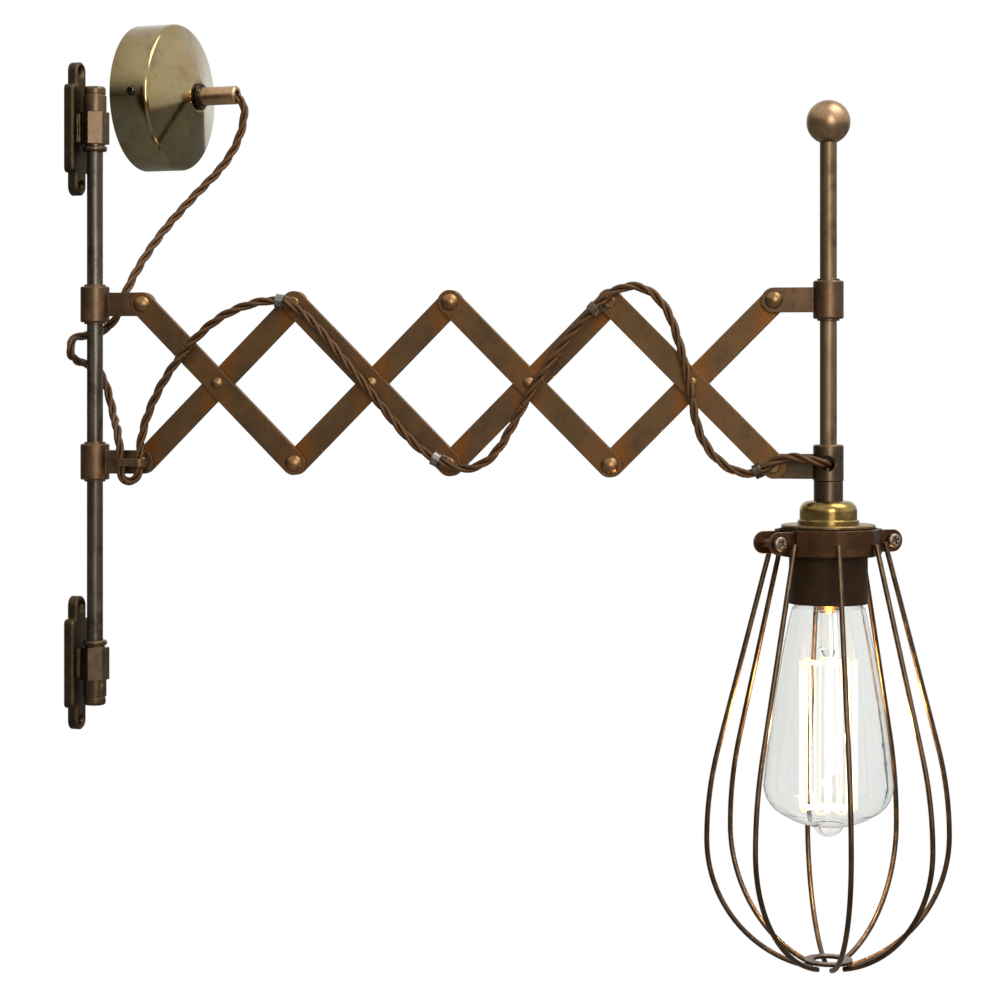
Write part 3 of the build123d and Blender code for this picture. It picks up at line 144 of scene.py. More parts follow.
FLOOR_HEIGHT = -0.36
SEEN_WHITE, SEEN_SHARE = 1.03, 0.97
bpy.ops.mesh.primitive_plane_add(size=40, location=(0.2, 0, FLOOR_HEIGHT))
floor = bpy.context.object
floor.name = "studio_floor"
floor_paint = bpy.data.materials.new("pale_floor")
floor_paint.use_nodes = True
tree = floor_paint.node_tree
tree.nodes.clear()
floor_out = tree.nodes.new("ShaderNodeOutputMaterial")
matt = tree.nodes.new("ShaderNodeBsdfDiffuse")
set_inputs(tree, matt, {"Color": (0.2, 0.2, 0.195)})
bright = tree.nodes.new("ShaderNodeEmission")
set_inputs(tree, bright, {"Strength": SEEN_WHITE})
rays = tree.nodes.new("ShaderNodeLightPath").outputs
seen = math_node(tree, "MAXIMUM", rays["Is Camera Ray"], rays["Is Transmission Ray"])
floor_mix = tree.nodes.new("ShaderNodeMixShader")
set_inputs(tree, floor_mix, {0: math_node(tree, "MULTIPLY", seen, SEEN_SHARE),
                             1: matt.outputs[0], 2: bright.outputs[0]})
tree.links.new(floor_mix.outputs[0], floor_out.inputs["Surface"])
floor.data.materials.append(floor_paint)

# Flex: three covered wires, each in a silky brown braid, twisted together. It leaves the canopy's
# grip, loops behind the wall rod and is clipped along the arm to the hole in the end block.
SWIVEL = radians(9.0)
ARM_DIR = Vector((cos(SWIVEL), sin(SWIVEL), 0))
ARM_FRONT = Vector((sin(SWIVEL), -cos(SWIVEL), 0))
ROD_FOOT = Vector((0.0135, 0, 0))
CORD_FRONT = 0.0076
FLEX_D = 0.0048
TWIST = 0.031
RING_STEP = 0.0012
BRAID_SLANT, BRAID_SCALE = radians(38), 520


def arm_point(along, front, height):
    """Place by distance along the arm, distance in front of its middle plane, and height."""
    return ROD_FOOT + ARM_DIR * along + ARM_FRONT * front + Vector((0, 0, height))


def on_arm(*pairs):
    """Places on the cord's plane in front of the arm, from pairs of distance along it and height."""
    return [arm_point(along, CORD_FRONT, height) for along, height in pairs]


canopy_drop = [Vector(bend) for bend in (
    (0.0490, 0.0800, 0.1662), (0.0616, 0.0800, 0.1662), (0.0620, 0.0795, 0.1485), (0.0542, 0.0740, 0.1280),
    (0.0396, 0.0560, 0.1060), (0.0292, 0.0345, 0.0820), (0.0245, 0.0140, 0.0570), (0.0195, 0.0115, 0.0400),
)]
rod_loop = [Vector(bend) for bend in (
    (0.0095, 0.0130, 0.0335), (0.0029, 0.0040, 0.0320), (0.0029, -0.0075, 0.0295), (0.0029, -0.0075, 0.0205),
    (0.0029, 0.0040, 0.0175), (0.0090, 0.0126, 0.0145), (0.0150, 0.0118, 0.0020), (0.0195, 0.0095, -0.0110),
)]
fold_rise = on_arm(
    (0.0156, -0.0182), (0.0170, -0.0310), (0.0172, -0.0429), (0.0222, -0.0458), (0.0272, -0.0429),
    (0.0272, -0.0315), (0.0300, -0.0150), (0.0375, 0.0025), (0.0475, 0.0178),
)
first_top = on_arm(
    (0.0601, 0.0322), (0.0730, 0.0422), (0.0870, 0.0478), (0.0995, 0.0502), (0.1095, 0.0484),
    (0.1195, 0.0412), (0.1290, 0.0310), (0.1403, 0.0170),
)
middle_low = on_arm(
    (0.1507, 0.0054), (0.1610, -0.0076), (0.1730, -0.0215), (0.1830, -0.0298), (0.1930, -0.0349),
    (0.2030, -0.0376), (0.2125, -0.0350), (0.2205, -0.0278), (0.2285, -0.0140),
)
third_top = on_arm(
    (0.2385, 0.0042), (0.2485, 0.0193), (0.2565, 0.0298), (0.2655, 0.0396), (0.2750, 0.0494),
    (0.2825, 0.0546), (0.2903, 0.0563), (0.2980, 0.0539), (0.3043, 0.0485), (0.3093, 0.0405),
    (0.3126, 0.0305), (0.3158, 0.0195), (0.3188, 0.0060),
)
lamp_entry = on_arm(
    (0.3210, -0.0070), (0.3235, -0.0175), (0.3285, -0.0270), (0.3360, -0.0343), (0.3435, -0.0380),
    (0.3502, -0.0385), (0.3565, -0.0357), (0.3645, -0.0310),
) + [
    arm_point(0.3710, 0.0088, -0.0298), arm_point(0.3780, 0.0112, -0.0310),
    arm_point(0.38820, 0.0114, -0.03322), arm_point(0.38820, 0.0010, -0.03322),
]


def new_finish(name):
    """A new material, with its node tree and its shader."""
    finish = bpy.data.materials.new(name)
    finish.use_nodes = True
    return finish, finish.node_tree, finish.node_tree.nodes["Principled BSDF"]


def mix_colours(tree, factor, first, second, blend="MIX"):
    """A colour mix of two sockets or colours; gives its output."""
    node = tree.nodes.new("ShaderNodeMix")
    node.data_type = "RGBA"
    node.blend_type = blend
    set_inputs(tree, node, {"Factor": factor, "A": first, "B": second})
    return node.outputs["Result"]


def cloud_of(tree, place, size, detail=4.0, rough=0.6):
    """Cloudy noise at a size given by a socket or a number; gives its value."""
    node = tree.nodes.new("ShaderNodeTexNoise")
    set_inputs(tree, node, {"Vector": place, "Scale": size, "Detail": detail, "Roughness": rough})
    return node.outputs["Fac"]


def raised(tree, height, strength, depth, normal=None):
    """The normal of a surface raised by a height, over another normal if one is given."""
    node = tree.nodes.new("ShaderNodeBump")
    set_inputs(tree, node, {"Height": height, "Strength": strength, "Distance": depth})
    if normal is not None:
        tree.links.new(normal, node.inputs["Normal"])
    return node.outputs["Normal"]


braid, tree, shader = new_finish("brown_braid")
along = tree.nodes.new("ShaderNodeUVMap")
along.uv_map = "braid"
threads = []
for slant in (BRAID_SLANT, -BRAID_SLANT):
    slanted = tree.nodes.new("ShaderNodeMapping")
    set_inputs(tree, slanted, {"Vector": along.outputs["UV"], "Rotation": (0, 0, slant)})
    thread = tree.nodes.new("ShaderNodeTexWave")
    thread.wave_type = "BANDS"
    thread.bands_direction = "X"
    set_inputs(tree, thread, {"Vector": slanted.outputs["Vector"], "Scale": BRAID_SCALE,
                              "Distortion": 0.6, "Detail": 1.0})
    threads.append(thread.outputs["Fac"])
weave = math_node(tree, "MAXIMUM", *threads)
thread_colour = mix_colours(tree, weave, (0.021, 0.0085, 0.0032), (0.078, 0.033, 0.0125))
place = tree.nodes.new("ShaderNodeTexCoord").outputs["Object"]
faded = mix_colours(tree, 0.55, thread_colour, cloud_of(tree, place, 90, 3.0, 0.5), "MULTIPLY")
set_inputs(tree, shader, {
    "Base Color": faded, "Roughness": 0.36, "Specular IOR Level": 0.9, "Specular Tint": (1.0, 0.60, 0.32),
    "Normal": raised(tree, weave, 0.5, 0.0003),
})


def add_run(curve, bends, resolution):
    """Adds a smooth run to a curve, with these bends as its control points."""
    run = curve.splines.new("NURBS")
    run.points.add(len(bends) - 1)
    for point, bend in zip(run.points, bends):
        point.co = (*bend, 1)
    run.order_u = 3
    run.use_endpoint_u = True
    run.resolution_u = resolution


def route_line(name, bends):
    """Points along the smooth curve that has these bends as its control points."""
    curve = bpy.data.curves.new(name + "_route", "CURVE")
    curve.dimensions = "3D"
    add_run(curve, bends, 24)
    carrier = bpy.data.objects.new(name + "_route", curve)
    scene.collection.objects.link(carrier)
    bpy.context.view_layer.update()
    drawn = bpy.data.meshes.new_from_object(carrier)
    line = [vertex.co.copy() for vertex in drawn.vertices]
    bpy.data.objects.remove(carrier)
    bpy.data.curves.remove(curve)
    bpy.data.meshes.remove(drawn)
    return line


def evenly(line, step):
    """The same line with points about a step apart, and its length."""
    lengths = [0.0]
    for before, after in zip(line, line[1:]):
        lengths.append(lengths[-1] + (after - before).length)
    count = max(8, round(lengths[-1] / step))
    places, index = [], 0
    for number in range(count + 1):
        reach = lengths[-1] * number / count
        while index < len(line) - 2 and lengths[index + 1] < reach:
            index += 1
        part = (reach - lengths[index]) / max(lengths[index + 1] - lengths[index], 1e-9)
        places.append(line[index].lerp(line[index + 1], part))
    return places, lengths[-1]


def twisted_cores(name, places, across, phase, length):
    """Three round cores wound about the line; gives the piece and how the next one goes on."""
    cores, sides = 3, 10
    core_r = FLEX_D / 2 / (1 + 2 / 3 ** 0.5)
    vertices, faces, marks, rings = [], [], [], []
    for number, place in enumerate(places):
        ahead = places[min(number + 1, len(places) - 1)] - places[max(number - 1, 0)]
        ahead.normalize()
        across = (across - ahead * across.dot(ahead)).normalized()
        beside = ahead.cross(across)
        turn = phase + 2 * pi * length * number / (len(places) - 1) / TWIST
        rings.append((place, ahead, across, beside, turn))
    for core in range(cores):
        first = len(vertices)
        for place, ahead, side, beside, turn in rings:
            swing = turn + 2 * pi * core / cores
            out = side * cos(swing) + beside * sin(swing)
            over = ahead.cross(out)
            middle = place + out * (FLEX_D / 2 - core_r)
            for corner in range(sides):
                angle = 2 * pi * corner / sides
                vertices.append(middle + (out * cos(angle) + over * sin(angle)) * core_r)
        for number in range(len(rings) - 1):
            for corner in range(sides):
                beyond = (corner + 1) % sides
                low, high = first + number * sides, first + (number + 1) * sides
                faces.append((low + corner, low + beyond, high + beyond, high + corner))
                start = length * number / (len(rings) - 1)
                end = length * (number + 1) / (len(rings) - 1)
                width = 2 * pi * core_r / sides
                marks.append((
                    (start, corner * width), (start, (corner + 1) * width),
                    (end, (corner + 1) * width), (end, corner * width),
                ))
        for ring, order in ((0, -1), (len(rings) - 1, 1)):
            rim = [first + ring * sides + corner for corner in range(sides)][::order]
            faces.append(tuple(rim))
            marks.append(((0.0, 0.0),) * sides)
    mesh = bpy.data.meshes.new(name)
    mesh.from_pydata(vertices, [], faces)
    layer = mesh.uv_layers.new(name="braid")
    spots = [mark for face in marks for mark in face]
    for loop, mark in zip(layer.data, spots):
        loop.uv = mark
    mesh.polygons.foreach_set("use_smooth", [True] * len(mesh.polygons))
    mesh.materials.append(braid)
    piece = bpy.data.objects.new(name, mesh)
    scene.collection.objects.link(piece)
    return piece, rings[-1][2], rings[-1][4]


flex_stretches = (
    ("flex_canopy_drop", "cord_canopy_drop", canopy_drop, "wall_fixings", "swivel_rod",
     Vector((0.0620, 0.0795, 0.1485)), Vector((0.0215, 0.0125, 0.0470))),
    ("flex_rod_loop", "cord_rod_loop", rod_loop, "swivel_rod", "lower_carriage",
     Vector((0.0145, 0.0123, 0.0368)), Vector((0.0248, 0.0022, -0.0146))),
    ("flex_fold_rise", "cord_fold_rise", fold_rise, "lower_carriage", "rear_1",
     arm_point(0.0275, CORD_FRONT, -0.0280), arm_point(0.0475, CORD_FRONT, 0.0178)),
    ("flex_first_top", "cord_first_top", first_top, "rear_1", "front_2",
     arm_point(0.0870, CORD_FRONT, 0.0478), arm_point(0.1130, CORD_FRONT, 0.0470)),
    ("flex_middle_low", "cord_middle_low", middle_low, "front_2", "rear_3",
     arm_point(0.1890, CORD_FRONT, -0.0340), arm_point(0.2125, CORD_FRONT, -0.0350)),
    ("flex_third_top", "cord_third_top", third_top, "rear_3", "front_4",
     arm_point(0.2655, CORD_FRONT, 0.0440), arm_point(0.2980, CORD_FRONT, 0.0500)),
    ("flex_lamp_entry", "cord_lamp_entry", lamp_entry, "front_4", "lamp_head",
     arm_point(0.3502, CORD_FRONT, -0.0370), arm_point(0.3740, CORD_FRONT, -0.0300)),
)
bend_lists = [stretch[2] for stretch in flex_stretches]
cuts = [(before[-1] + after[0]) / 2 for before, after in zip(bend_lists, bend_lists[1:])]
across, phase = Vector((0, 0, 1)), 0.0
for number, (name, node, bends, held_by, goes_to, start, end) in enumerate(flex_stretches):
    control = cuts[max(number - 1, 0):number] + bends + cuts[number:number + 1]
    places, length = evenly(route_line(name, control), RING_STEP)
    piece, across, phase = twisted_cores(name, places, across, phase, length)
    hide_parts(node)
    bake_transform(piece)


# Wall brackets: two cast plates, each with a hex socket, a turned bush and a turned end cap that
# hold the wall rod. Cast bronze-coloured metal, rubbed brighter along its edges.
def shader_group(name, inputs, outputs):
    """A new node group with named sockets: its tree, and its two end nodes."""
    tree = bpy.data.node_groups.new(name, "ShaderNodeTree")
    for label, kind in inputs:
        tree.interface.new_socket(name=label, in_out="INPUT", socket_type="NodeSocket" + kind)
    for label, kind in outputs:
        tree.interface.new_socket(name=label, in_out="OUTPUT", socket_type="NodeSocket" + kind)
    return tree, tree.nodes.new("NodeGroupInput"), tree.nodes.new("NodeGroupOutput")


# patches of bloom and tarnish on a ground colour, with a fine grain
patina, patina_in, patina_out = shader_group(
    "patina",
    (("Ground", "Color"), ("Bloom", "Color"), ("Tarnish", "Color"), ("Size", "Float"),
     ("Bloom Share", "Float"), ("Tarnish Share", "Float")),
    (("Colour", "Color"), ("Cloud", "Float"), ("Grain", "Float")),
)
place = patina.nodes.new("ShaderNodeTexCoord").outputs["Object"]
cloud = cloud_of(patina, place, patina_in.outputs["Size"])
bloom = math_node(patina, "MULTIPLY", span_of(patina, cloud, 0.46, 0.68), patina_in.outputs["Bloom Share"])
bloomed = mix_colours(patina, bloom, patina_in.outputs["Ground"], patina_in.outputs["Bloom"])
speckle = cloud_of(patina, place, math_node(patina, "MULTIPLY", patina_in.outputs["Size"], 3.7), 6.0, 0.7)
dull = math_node(patina, "MULTIPLY", span_of(patina, speckle, 0.5, 0.7), patina_in.outputs["Tarnish Share"])
dulled = mix_colours(patina, dull, bloomed, patina_in.outputs["Tarnish"])
grain = cloud_of(patina, place, 1900.0, 3.0)
patina.links.new(dulled, patina_out.inputs["Colour"])
patina.links.new(cloud, patina_out.inputs["Cloud"])
patina.links.new(grain, patina_out.inputs["Grain"])

# edges rubbed to a brighter colour, and the surface's normal rounded over them
rubbed, rubbed_in, rubbed_out = shader_group(
    "rubbed_edges",
    (("Colour", "Color"), ("Bright", "Color"), ("Share", "Float"), ("Reach", "Float")),
    (("Colour", "Color"), ("Normal", "Vector")),
)
rounded = rubbed.nodes.new("ShaderNodeBevel")
rounded.samples = 4
rubbed.links.new(rubbed_in.outputs["Reach"], rounded.inputs["Radius"])
true_normal = rubbed.nodes.new("ShaderNodeNewGeometry")
agree = dot_of(rubbed, rounded.outputs["Normal"], true_normal.outputs["Normal"])
turned = math_node(rubbed, "SUBTRACT", 1.0, agree)
place = rubbed.nodes.new("ShaderNodeTexCoord").outputs["Object"]
broken = span_of(rubbed, cloud_of(rubbed, place, 420.0, 3.0), 0.35, 0.65)
edge = math_node(rubbed, "MULTIPLY", span_of(rubbed, turned, 0.02, 0.2), broken)
edge = math_node(rubbed, "MULTIPLY", edge, rubbed_in.outputs["Share"])
rubbed.links.new(mix_colours(rubbed, edge, rubbed_in.outputs["Colour"], rubbed_in.outputs["Bright"]),
                 rubbed_out.inputs["Colour"])
rubbed.links.new(rounded.outputs["Normal"], rubbed_out.inputs["Normal"])


def use_group(tree, group, values):
    """A group placed in a material, its inputs set to colours, numbers or sockets; gives its outputs."""
    node = tree.nodes.new("ShaderNodeGroup")
    node.node_tree = group
    set_inputs(tree, node, values)
    return node.outputs


def aged_metal(name, ground, bloom, tarnish, bright, size=70.0, bloom_share=0.8, tarnish_share=0.6,
               rough=(0.3, 0.5), grain=0.2, metallic=1.0, edge=0.7, reach=0.0005, stain=None):
    """Metal with patches, a fine grain and rubbed edges; stain may lay a colour over the patches."""
    finish, tree, shader = new_finish(name)
    skin = use_group(tree, patina, {"Ground": ground, "Bloom": bloom, "Tarnish": tarnish, "Size": size,
                                    "Bloom Share": bloom_share, "Tarnish Share": tarnish_share})
    colour = stain(tree, skin["Colour"]) if stain else skin["Colour"]
    worn = use_group(tree, rubbed, {"Colour": colour, "Bright": bright, "Share": edge, "Reach": reach})
    set_inputs(tree, shader, {
        "Base Color": worn["Colour"], "Metallic": metallic,
        "Roughness": span_of(tree, skin["Cloud"], 0.3, 0.7, *rough),
        "Normal": raised(tree, skin["Grain"], grain, 0.0002, worn["Normal"]),
    })
    return finish


def dress(finish, *names):
    """Gives solids of the frame their finish."""
    for name in names:
        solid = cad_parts[name]
        solid.data.materials.clear()
        solid.data.materials.append(finish)


cast_bronze = aged_metal(
    "cast_bronze", (0.06, 0.041, 0.024), (0.1, 0.062, 0.032), (0.022, 0.015, 0.009), (0.26, 0.19, 0.12),
    size=55, rough=(0.34, 0.52), grain=0.45, edge=0.8, reach=0.0012,
)
dress(cast_bronze, "upper_wall_bracket", "lower_wall_bracket")
turned_copper = aged_metal(
    "turned_copper", (0.105, 0.073, 0.045), (0.17, 0.105, 0.055), (0.05, 0.032, 0.02), (0.36, 0.27, 0.18),
    size=80, rough=(0.26, 0.42), grain=0.12,
)
dress(turned_copper, "rod_sockets", "rod_bushes", "rod_caps")

# Canopy: a spun brass cover on a steel strap, its two side screws, and the turned cord grip on
# its crown. Antique brass with a soft cloudy gloss; the grip is more copper.
cover_low, cover_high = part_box("canopy_cover")


def place_along(tree, axis):
    """How far along an axis of the frame the surface lies."""
    split = tree.nodes.new("ShaderNodeSeparateXYZ")
    tree.links.new(tree.nodes.new("ShaderNodeTexCoord").outputs["Object"], split.inputs[0])
    return split.outputs[axis]


def bloom_and_rim_shade(tree, colour):
    """Broad clouds of rust and of blue-grey over the brass, with painted shade that turns the cover browner
    and darker towards its rim by the wall.
    """
    place = tree.nodes.new("ShaderNodeTexCoord").outputs["Object"]
    # painted shade: the brass is mixed towards a dark brown the nearer it lies to the rim by the wall
    rim_shade = span_of(tree, place_along(tree, "X"), cover_low[0], cover_high[0], 0.6, 0.0)
    colour = mix_colours(tree, rim_shade, colour, (0.16, 0.1, 0.045))
    warm = span_of(tree, cloud_of(tree, place, 21.0, 3.0), 0.52, 0.7, 0.0, 0.55)
    cool = span_of(tree, cloud_of(tree, place, 33.0, 3.0), 0.54, 0.7, 0.0, 0.5)
    warmed = mix_colours(tree, warm, colour, (0.34, 0.17, 0.06))
    return mix_colours(tree, cool, warmed, (0.3, 0.32, 0.25))


antique_brass = aged_metal(
    "antique_brass", (0.34, 0.275, 0.143), (0.46, 0.38, 0.19), (0.14, 0.1, 0.048), (0.62, 0.54, 0.35),
    size=26, bloom_share=0.7, tarnish_share=0.5, rough=(0.07, 0.13), grain=0.04, edge=0.4, stain=bloom_and_rim_shade,
)
dress(antique_brass, "canopy_cover")
# side screws near-black, their rims painted a pale colour as a painted glint standing in for a highlight
dark_screw_glint_finish = aged_metal(
    "dark_screw_painted_glint", (0.03, 0.022, 0.015), (0.06, 0.045, 0.03), (0.012, 0.009, 0.006), (0.75, 0.68, 0.55),
    size=300, rough=(0.2, 0.32), grain=0.05, edge=0.95,
)
dress(dark_screw_glint_finish, "canopy_side_screws")
SLEEVE_L, SLEEVE_FADE = 0.0204, 0.0008
sleeve_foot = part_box("cord_grip")[1][0] - SLEEVE_L


def dark_base(tree, colour):
    """The grip's base ring, near-black where it meets the cover."""
    base = span_of(tree, place_along(tree, "X"), sleeve_foot - SLEEVE_FADE, sleeve_foot, 1.0, 0.0)
    return mix_colours(tree, base, colour, (0.016, 0.0095, 0.006))


copper_brass = aged_metal(
    "copper_brass", (0.48, 0.31, 0.165), (0.62, 0.43, 0.24), (0.19, 0.108, 0.05), (0.78, 0.62, 0.42),
    size=120, bloom_share=0.6, tarnish_share=0.5, rough=(0.2, 0.34), grain=0.05, edge=0.5, stain=dark_base,
)
dress(copper_brass, "cord_grip", "cord_grip_locknut")
zinc = aged_metal(
    "zinc_plate", (0.5, 0.49, 0.46), (0.56, 0.55, 0.53), (0.34, 0.33, 0.31), (0.7, 0.7, 0.68),
    size=160, rough=(0.3, 0.45), grain=0.08,
)
dress(zinc, "canopy_strap")
terminal_white = aged_metal(
    "terminal_plastic", (0.78, 0.77, 0.73), (0.8, 0.79, 0.75), (0.7, 0.69, 0.64), (0.82, 0.81, 0.78),
    size=60, rough=(0.45, 0.55), grain=0.06, metallic=0.0,
)
dress(terminal_white, "terminal_block")

# Wall rod: a drawn round bar that turns in the brackets. Grey bronze, worn pale in streaks where
# the collars have slid.
streaks, streaks_in, streaks_out = shader_group(
    "drawn_streaks",
    (("Ground", "Color"), ("Streak", "Color"), ("Dark", "Color")),
    (("Colour", "Color"), ("Line", "Float")),
)
place = streaks.nodes.new("ShaderNodeTexCoord").outputs["Object"]
pulled = streaks.nodes.new("ShaderNodeMapping")
pulled.inputs["Scale"].default_value = (1, 1, 0.035)
streaks.links.new(place, pulled.inputs["Vector"])
line = cloud_of(streaks, pulled.outputs["Vector"], 420.0, 4.0, 0.65)
mottle = cloud_of(streaks, place, 34.0, 4.0, 0.6)
pale = math_node(streaks, "MULTIPLY", span_of(streaks, line, 0.42, 0.66), span_of(streaks, mottle, 0.3, 0.62))
paled = mix_colours(streaks, pale, streaks_in.outputs["Ground"], streaks_in.outputs["Streak"])
stain = span_of(streaks, cloud_of(streaks, place, 75.0, 5.0, 0.7), 0.5, 0.72)
stained = mix_colours(streaks, stain, paled, streaks_in.outputs["Dark"])
streaks.links.new(stained, streaks_out.inputs["Colour"])
streaks.links.new(line, streaks_out.inputs["Line"])


def drawn_bar(name, ground, streak, dark, rough):
    """Round bar with streaks along it."""
    finish, tree, shader = new_finish(name)
    skin = use_group(tree, streaks, {"Ground": ground, "Streak": streak, "Dark": dark})
    set_inputs(tree, shader, {
        "Base Color": skin["Colour"], "Metallic": 1.0,
        "Roughness": span_of(tree, skin["Line"], 0.3, 0.7, *rough),
        "Normal": raised(tree, skin["Line"], 0.1, 0.0001),
    })
    return finish


wall_bronze = drawn_bar(
    "wall_rod_bronze", (0.08, 0.068, 0.047), (0.21, 0.195, 0.16), (0.034, 0.025, 0.014), (0.3, 0.46),
)
dress(wall_bronze, "wall_rod")

# Collars: turned sleeves with a flat tab, two on the wall rod and one on the end rod. The same
# browned steel as the bars.
browned = aged_metal(
    "browned_collar", (0.13, 0.078, 0.045), (0.2, 0.112, 0.056), (0.055, 0.033, 0.019), (0.36, 0.26, 0.165),
    size=75, rough=(0.34, 0.5), grain=0.2,
)
dress(browned, "lower_wall_collar", "upper_wall_collar", "upper_end_collar", "height_grub_screw")

# Scissor bars: flat steel with rounded ends, browned. Rust has bled from between the layers, so
# the rear bars are red round every pivot and the front bars only a little.
PIVOT_STEP = 0.04172
FIRST_PIVOT = 0.027
RUST_FULL, RUST_END, RUST_RAGGED = 0.011, 0.019, 0.014
pivot_rust, pivot_in, pivot_out = shader_group(
    "pivot_rust", (("Colour", "Color"), ("Rust", "Color"), ("Share", "Float")), (("Colour", "Color"),),
)
place = pivot_rust.nodes.new("ShaderNodeTexCoord").outputs["Object"]
first_pivot = ROD_FOOT.dot(ARM_DIR) + FIRST_PIVOT
along_arm = math_node(pivot_rust, "SUBTRACT", dot_of(pivot_rust, place, ARM_DIR), first_pivot)
from_pivot = math_node(pivot_rust, "PINGPONG", along_arm, PIVOT_STEP / 2)
ragged = math_node(pivot_rust, "MULTIPLY", cloud_of(pivot_rust, place, 130.0, 4.0, 0.65), RUST_RAGGED)
near = span_of(pivot_rust, math_node(pivot_rust, "ADD", from_pivot, ragged), RUST_FULL, RUST_END, 1.0, 0.0)
bled = math_node(pivot_rust, "MULTIPLY", near, pivot_in.outputs["Share"])
pivot_rust.links.new(mix_colours(pivot_rust, bled, pivot_in.outputs["Colour"], pivot_in.outputs["Rust"]),
                     pivot_out.inputs["Colour"])


def rust_at_pivots(share):
    """A stain of rust round the pivots, as strong as share."""
    def stain(tree, colour):
        return use_group(tree, pivot_rust, {"Colour": colour, "Rust": (0.25, 0.09, 0.019),
                                            "Share": share})["Colour"]
    return stain


for layer, share in (("front", 0.25), ("rear", 0.75)):
    browned_bar = aged_metal(
        layer + "_bar_brown", (0.132, 0.077, 0.038), (0.2, 0.1, 0.038), (0.08, 0.048, 0.024),
        (0.3, 0.2, 0.115),
        size=48, bloom_share=0.6, tarnish_share=0.55, rough=(0.4, 0.58), grain=0.45, edge=0.75,
        reach=0.0007, stain=rust_at_pivots(share),
    )
    dress(browned_bar, *[f"{layer}_bar_{number}" for number in range(1, 5)])

# Rivets: domed heads in front, low heads behind, flat ones where a clip lies over the pivot.
rivet_steel = aged_metal(
    "rivet_steel", (0.26, 0.147, 0.065), (0.38, 0.21, 0.096), (0.1, 0.055, 0.027), (0.52, 0.38, 0.24),
    size=220, rough=(0.28, 0.44), grain=0.1,
)
dress(rivet_steel, "lower_wall_rivet", "upper_end_rivet", *[f"rivets_bar_{number}" for number in range(1, 5)])

# Cord clips: bent strips of tinned steel, dull on one bar and gone brown on the other, and a
# browned one round the fold.
dull_tin = aged_metal(
    "dull_tin", (0.22, 0.2, 0.175), (0.36, 0.34, 0.31), (0.07, 0.05, 0.034), (0.62, 0.58, 0.52),
    size=260, rough=(0.24, 0.4), grain=0.08,
)
dress(dull_tin, "cord_clips_bar_2")
brown_tin = aged_metal(
    "brown_tin", (0.115, 0.085, 0.06), (0.2, 0.17, 0.14), (0.045, 0.03, 0.019), (0.42, 0.36, 0.29),
    size=260, rough=(0.26, 0.42), grain=0.1,
)
dress(brown_tin, "cord_clips_bar_4")
dress(browned, "fold_clip")

# End block, end rod, ball knob and neck: turned and drawn bronze that carries the lamp.
dress(turned_copper, "end_block", "neck_coupler")
end_bronze = drawn_bar(
    "end_rod_bronze", (0.17, 0.115, 0.062), (0.27, 0.205, 0.125), (0.08, 0.048, 0.024), (0.4, 0.52),
)
dress(end_bronze, "end_rod")
knob_copper = aged_metal(
    "knob_copper", (0.28, 0.18, 0.1), (0.42, 0.27, 0.15), (0.1, 0.06, 0.031), (0.55, 0.41, 0.27),
    size=60, rough=(0.28, 0.4), grain=0.05,
)
dress(knob_copper, "ball_knob")

# Lampholder: brass cap and flange over a dark brown skirt, with a ceramic core, a brass screw
# shell and a centre contact inside.
bright_brass = aged_metal(
    "bright_brass", (0.26, 0.172, 0.052), (0.46, 0.32, 0.1), (0.085, 0.05, 0.017), (0.8, 0.64, 0.33),
    size=90, tarnish_share=0.5, rough=(0.18, 0.32), grain=0.05,
)
dress(bright_brass, "holder_cap", "holder_screw_shell", "holder_contact")
flange_brass = aged_metal(
    "flange_brass", (0.16, 0.105, 0.046), (0.3, 0.2, 0.075), (0.06, 0.036, 0.018), (0.6, 0.45, 0.2),
    size=90, rough=(0.26, 0.4), grain=0.08, edge=0.9,
)
dress(flange_brass, "holder_flange")
skirt_brown = aged_metal(
    "skirt_brown", (0.027, 0.0147, 0.0066), (0.038, 0.0215, 0.0105), (0.016, 0.0088, 0.0044),
    (0.08, 0.05, 0.03),
    size=60, rough=(0.36, 0.5), grain=0.12, metallic=0.0,
)
skirt_brown.node_tree.nodes["Principled BSDF"].inputs["Specular IOR Level"].default_value = 0.06
dress(skirt_brown, "holder_skirt")
core_white = aged_metal(
    "core_ceramic", (0.72, 0.7, 0.64), (0.76, 0.74, 0.69), (0.6, 0.58, 0.52), (0.8, 0.79, 0.75),
    size=60, rough=(0.5, 0.65), grain=0.1, metallic=0.0,
)
dress(core_white, "holder_core")

# Cage: a folded eight-sided band in two halves, clamped by two screws, with eight bronze wires
# brazed to it that run down to a small ring.
band_brown = aged_metal(
    "band_brown", (0.092, 0.045, 0.0215), (0.14, 0.073, 0.036), (0.04, 0.021, 0.011), (0.36, 0.23, 0.13),
    size=60, rough=(0.32, 0.46), grain=0.1, edge=0.8,
)
dress(band_brown, "cage_band_front", "cage_band_rear")
wire_bronze = aged_metal(
    "wire_bronze", (0.085, 0.056, 0.035), (0.16, 0.1, 0.055), (0.034, 0.021, 0.0125), (0.32, 0.23, 0.15),
    size=110, rough=(0.26, 0.4), grain=0.06, edge=0.2,
)
dress(wire_bronze, "cage_wires", "cage_ring")

